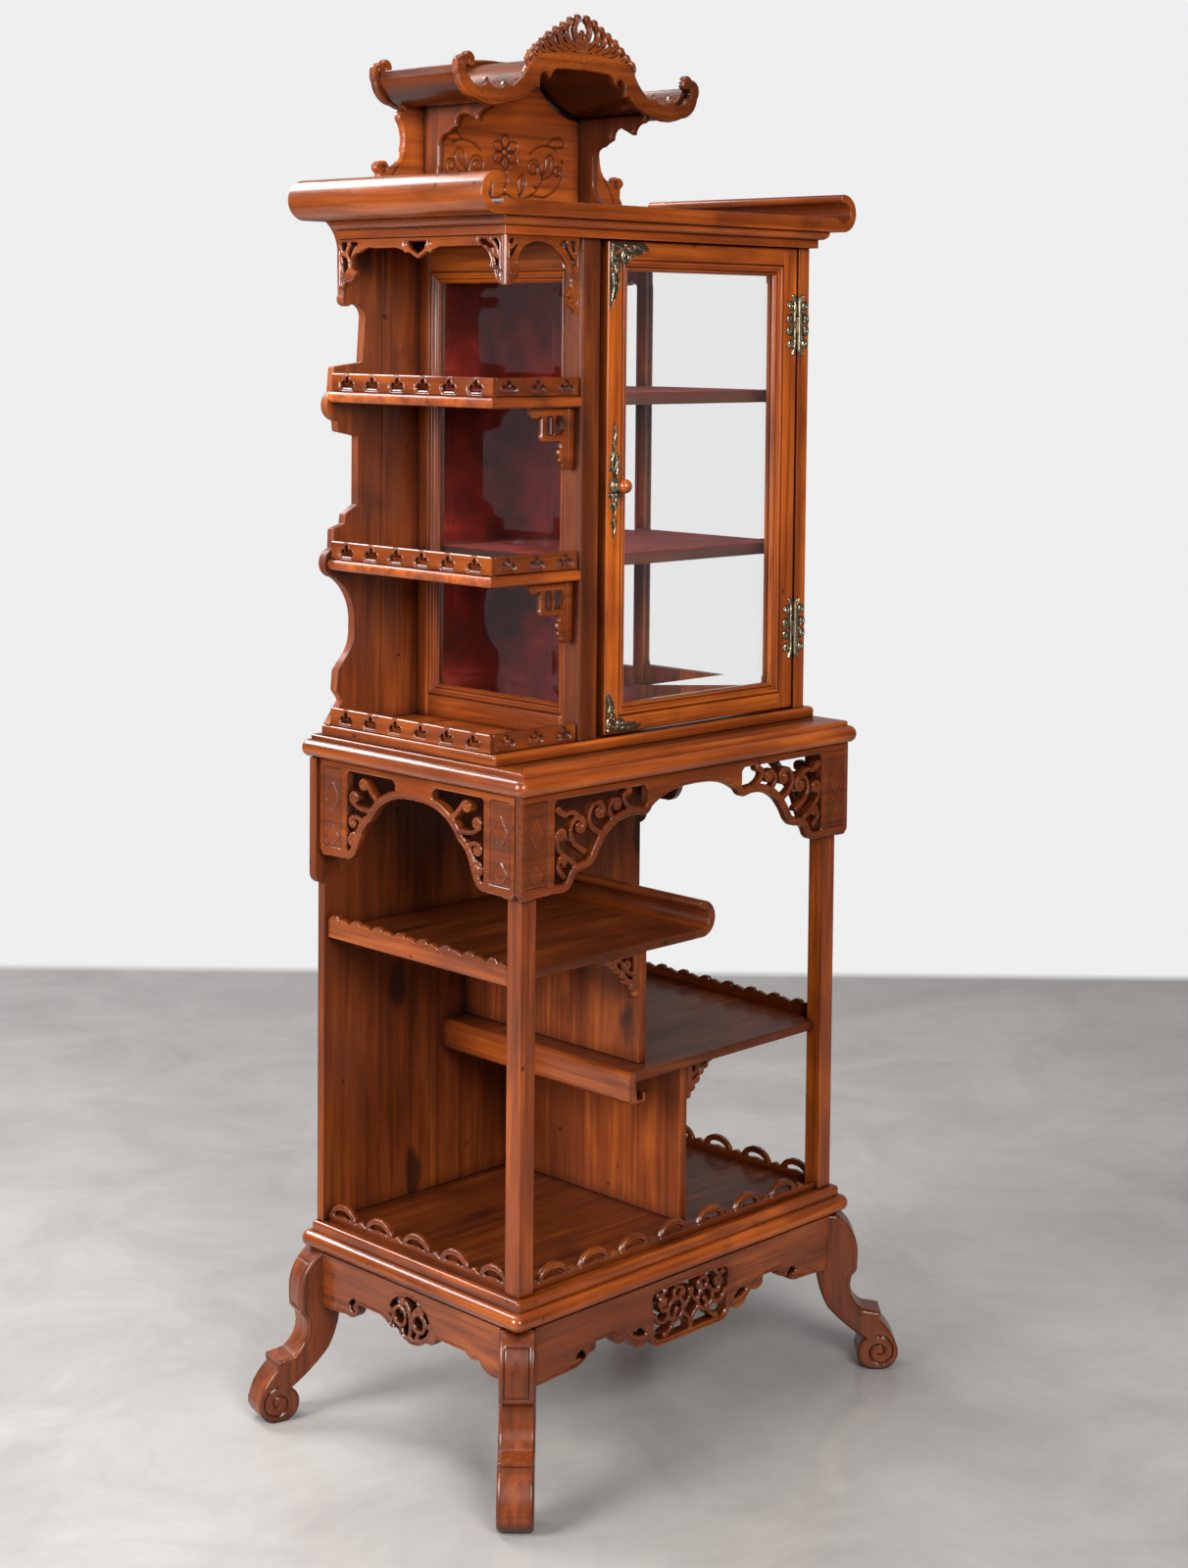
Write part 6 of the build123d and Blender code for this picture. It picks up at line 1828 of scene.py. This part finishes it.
def buildStage():
    # A wide polished disc: radius times the cosine and sine of even turns. Past a square about the cabinet
    # it shows the backdrop's colour to the camera.
    count, radius = stageLook["sides"], stageLook["radius"]
    angle = np.linspace(0, 2 * math.pi, count, endpoint=False)
    points = np.stack([radius * np.cos(angle), radius * np.sin(angle), np.zeros(count)], axis=1)
    mesh = bpy.data.meshes.new("floor")
    mesh.from_pydata(points.tolist(), [], [list(range(count))])
    floor = newPiece("floor", mesh)
    material, tree, shader = newMaterial("polished_floor")
    place = nodeOf(tree, "ShaderNodeTexCoord").outputs["Object"]
    cloud = nodeOf(tree, "ShaderNodeTexNoise", Scale=3.4, Detail=9.0, Distortion=0.6, Roughness=0.68)
    link(place, cloud.inputs["Vector"])
    tint = ramp(cloud.outputs[0], (0.3, tuple(c * 0.86 for c in stageLook["floor"])),
                (0.7, tuple(c * 1.16 for c in stageLook["floor"])))
    link(tint, shader.inputs["Base Color"])
    shader.inputs["Roughness"].default_value = stageLook["roughness"]
    shader.inputs["IOR"].default_value = 1.4
    out = [node for node in tree.nodes if node.type == "OUTPUT_MATERIAL"][0]
    white = nodeOf(tree, "ShaderNodeEmission", Color=lightLook["backdrop"], Strength=1.0)
    square = nodeOf(tree, "ShaderNodeMapping")
    square.inputs["Rotation"].default_value = (0, 0, math.radians(-cameraLook["yaw"]))
    link(place, square.inputs["Vector"])
    sides = nodeOf(tree, "ShaderNodeSeparateXYZ")
    link(square.outputs[0], sides.inputs[0])
    spread = mathOf("MAXIMUM", mathOf("ABSOLUTE", sides.outputs[0]),
                    mathOf("ABSOLUTE", sides.outputs[1]))
    fade = ramp(mathOf("DIVIDE", spread, stageLook["wallAt"]), (stageLook["fade"][0], (0, 0, 0)),
                (stageLook["fade"][1], (1, 1, 1)))
    mix = nodeOf(tree, "ShaderNodeMixShader")
    rays = nodeOf(tree, "ShaderNodeLightPath")
    seen = mathOf("MAXIMUM", rays.outputs["Is Camera Ray"], rays.outputs["Is Transmission Ray"])
    link(times(fade, seen), mix.inputs[0])
    link(shader.outputs[0], mix.inputs[1])
    link(white.outputs[0], mix.inputs[2])
    link(mix.outputs[0], out.inputs[0])
    floor.data.materials.append(material)


def buildLight():
    world = bpy.data.worlds.new("studio")
    bpy.context.scene.world = world
    world.use_nodes = True
    tree = world.node_tree
    tree.nodes.clear()
    out = nodeOf(tree, "ShaderNodeOutputWorld")
    rays = nodeOf(tree, "ShaderNodeLightPath")
    soft = nodeOf(tree, "ShaderNodeBackground", Color=(1.0, 0.97, 0.95, 1), Strength=lightLook["ambient"])
    seen = nodeOf(tree, "ShaderNodeBackground", Color=lightLook["backdrop"], Strength=1.0)
    gleam = nodeOf(tree, "ShaderNodeBackground", Color=(1.0, 0.98, 0.97, 1))
    # polished wood mirrors a pale wall on the far side and a dim room on the near side
    far = nodeOf(tree, "ShaderNodeVectorMath")
    far.operation = "DOT_PRODUCT"
    link(nodeOf(tree, "ShaderNodeTexCoord").outputs["Generated"], far.inputs[0])
    far.inputs[1].default_value = lightLook["farSide"]
    span = nodeOf(tree, "ShaderNodeMapRange")
    span.interpolation_type = "SMOOTHSTEP"
    values = zip(span.inputs[1:5], (*lightLook["farFade"], lightLook["gleam"], lightLook["wall"]))
    for socket, value in values:
        socket.default_value = value
    link(far.outputs["Value"], span.inputs[0])
    link(span.outputs[0], gleam.inputs["Strength"])
    either = mathOf("MAXIMUM", rays.outputs["Is Camera Ray"], rays.outputs["Is Transmission Ray"])
    shiny = nodeOf(tree, "ShaderNodeMixShader")
    link(rays.outputs["Is Glossy Ray"], shiny.inputs[0])
    link(soft.outputs[0], shiny.inputs[1])
    link(gleam.outputs[0], shiny.inputs[2])
    mix = nodeOf(tree, "ShaderNodeMixShader")
    link(either, mix.inputs[0])
    link(shiny.outputs[0], mix.inputs[1])
    link(seen.outputs[0], mix.inputs[2])
    link(mix.outputs[0], out.inputs[0])
    for name, (spot, size, power, colour) in lightLook["lamps"].items():
        light = bpy.data.lights.new(name, "AREA")
        light.size = size
        light.energy = power
        light.color = colour
        lamp = newPiece(name, light)
        aim = Vector((0, 0, 0.95)) - Vector(spot)
        lamp.rotation_euler = aim.to_track_quat("-Z", "Y").to_euler()
        lamp.location = spot
        lamp.visible_camera = lamp.visible_transmission = False


def buildCamera():
    # Looks along the diagonal from the front left corner, a little down; the shift frames the whole height.
    where = Vector(cameraLook["place"])
    yaw, tilt, roll = [math.radians(cameraLook[turn]) for turn in ("yaw", "tilt", "roll")]
    level = Vector((math.cos(yaw), math.sin(yaw), 0))
    side = Vector((math.sin(yaw), -math.cos(yaw), 0))
    forward = level * math.cos(tilt) - Vector((0, 0, 1)) * math.sin(tilt)
    rise = level * math.sin(tilt) + Vector((0, 0, 1)) * math.cos(tilt)
    right = side * math.cos(roll) + rise * math.sin(roll)
    up = rise * math.cos(roll) - side * math.sin(roll)
    lens = bpy.data.cameras.new("camera")
    lens.sensor_fit = "VERTICAL"
    lens.sensor_height = 36.0
    lens.lens = cameraLook["lens"]
    lens.shift_y = cameraLook["shift"]
    camera = newPiece("camera", lens)
    turn = Matrix((right, up, -forward)).transposed().to_4x4()
    camera.matrix_world = Matrix.Translation(where) @ turn
    bpy.context.scene.camera = camera


buildStage()
buildLight()
buildCamera()
bpy.context.scene.view_settings.view_transform = "Standard"
print("stage, light and camera set")
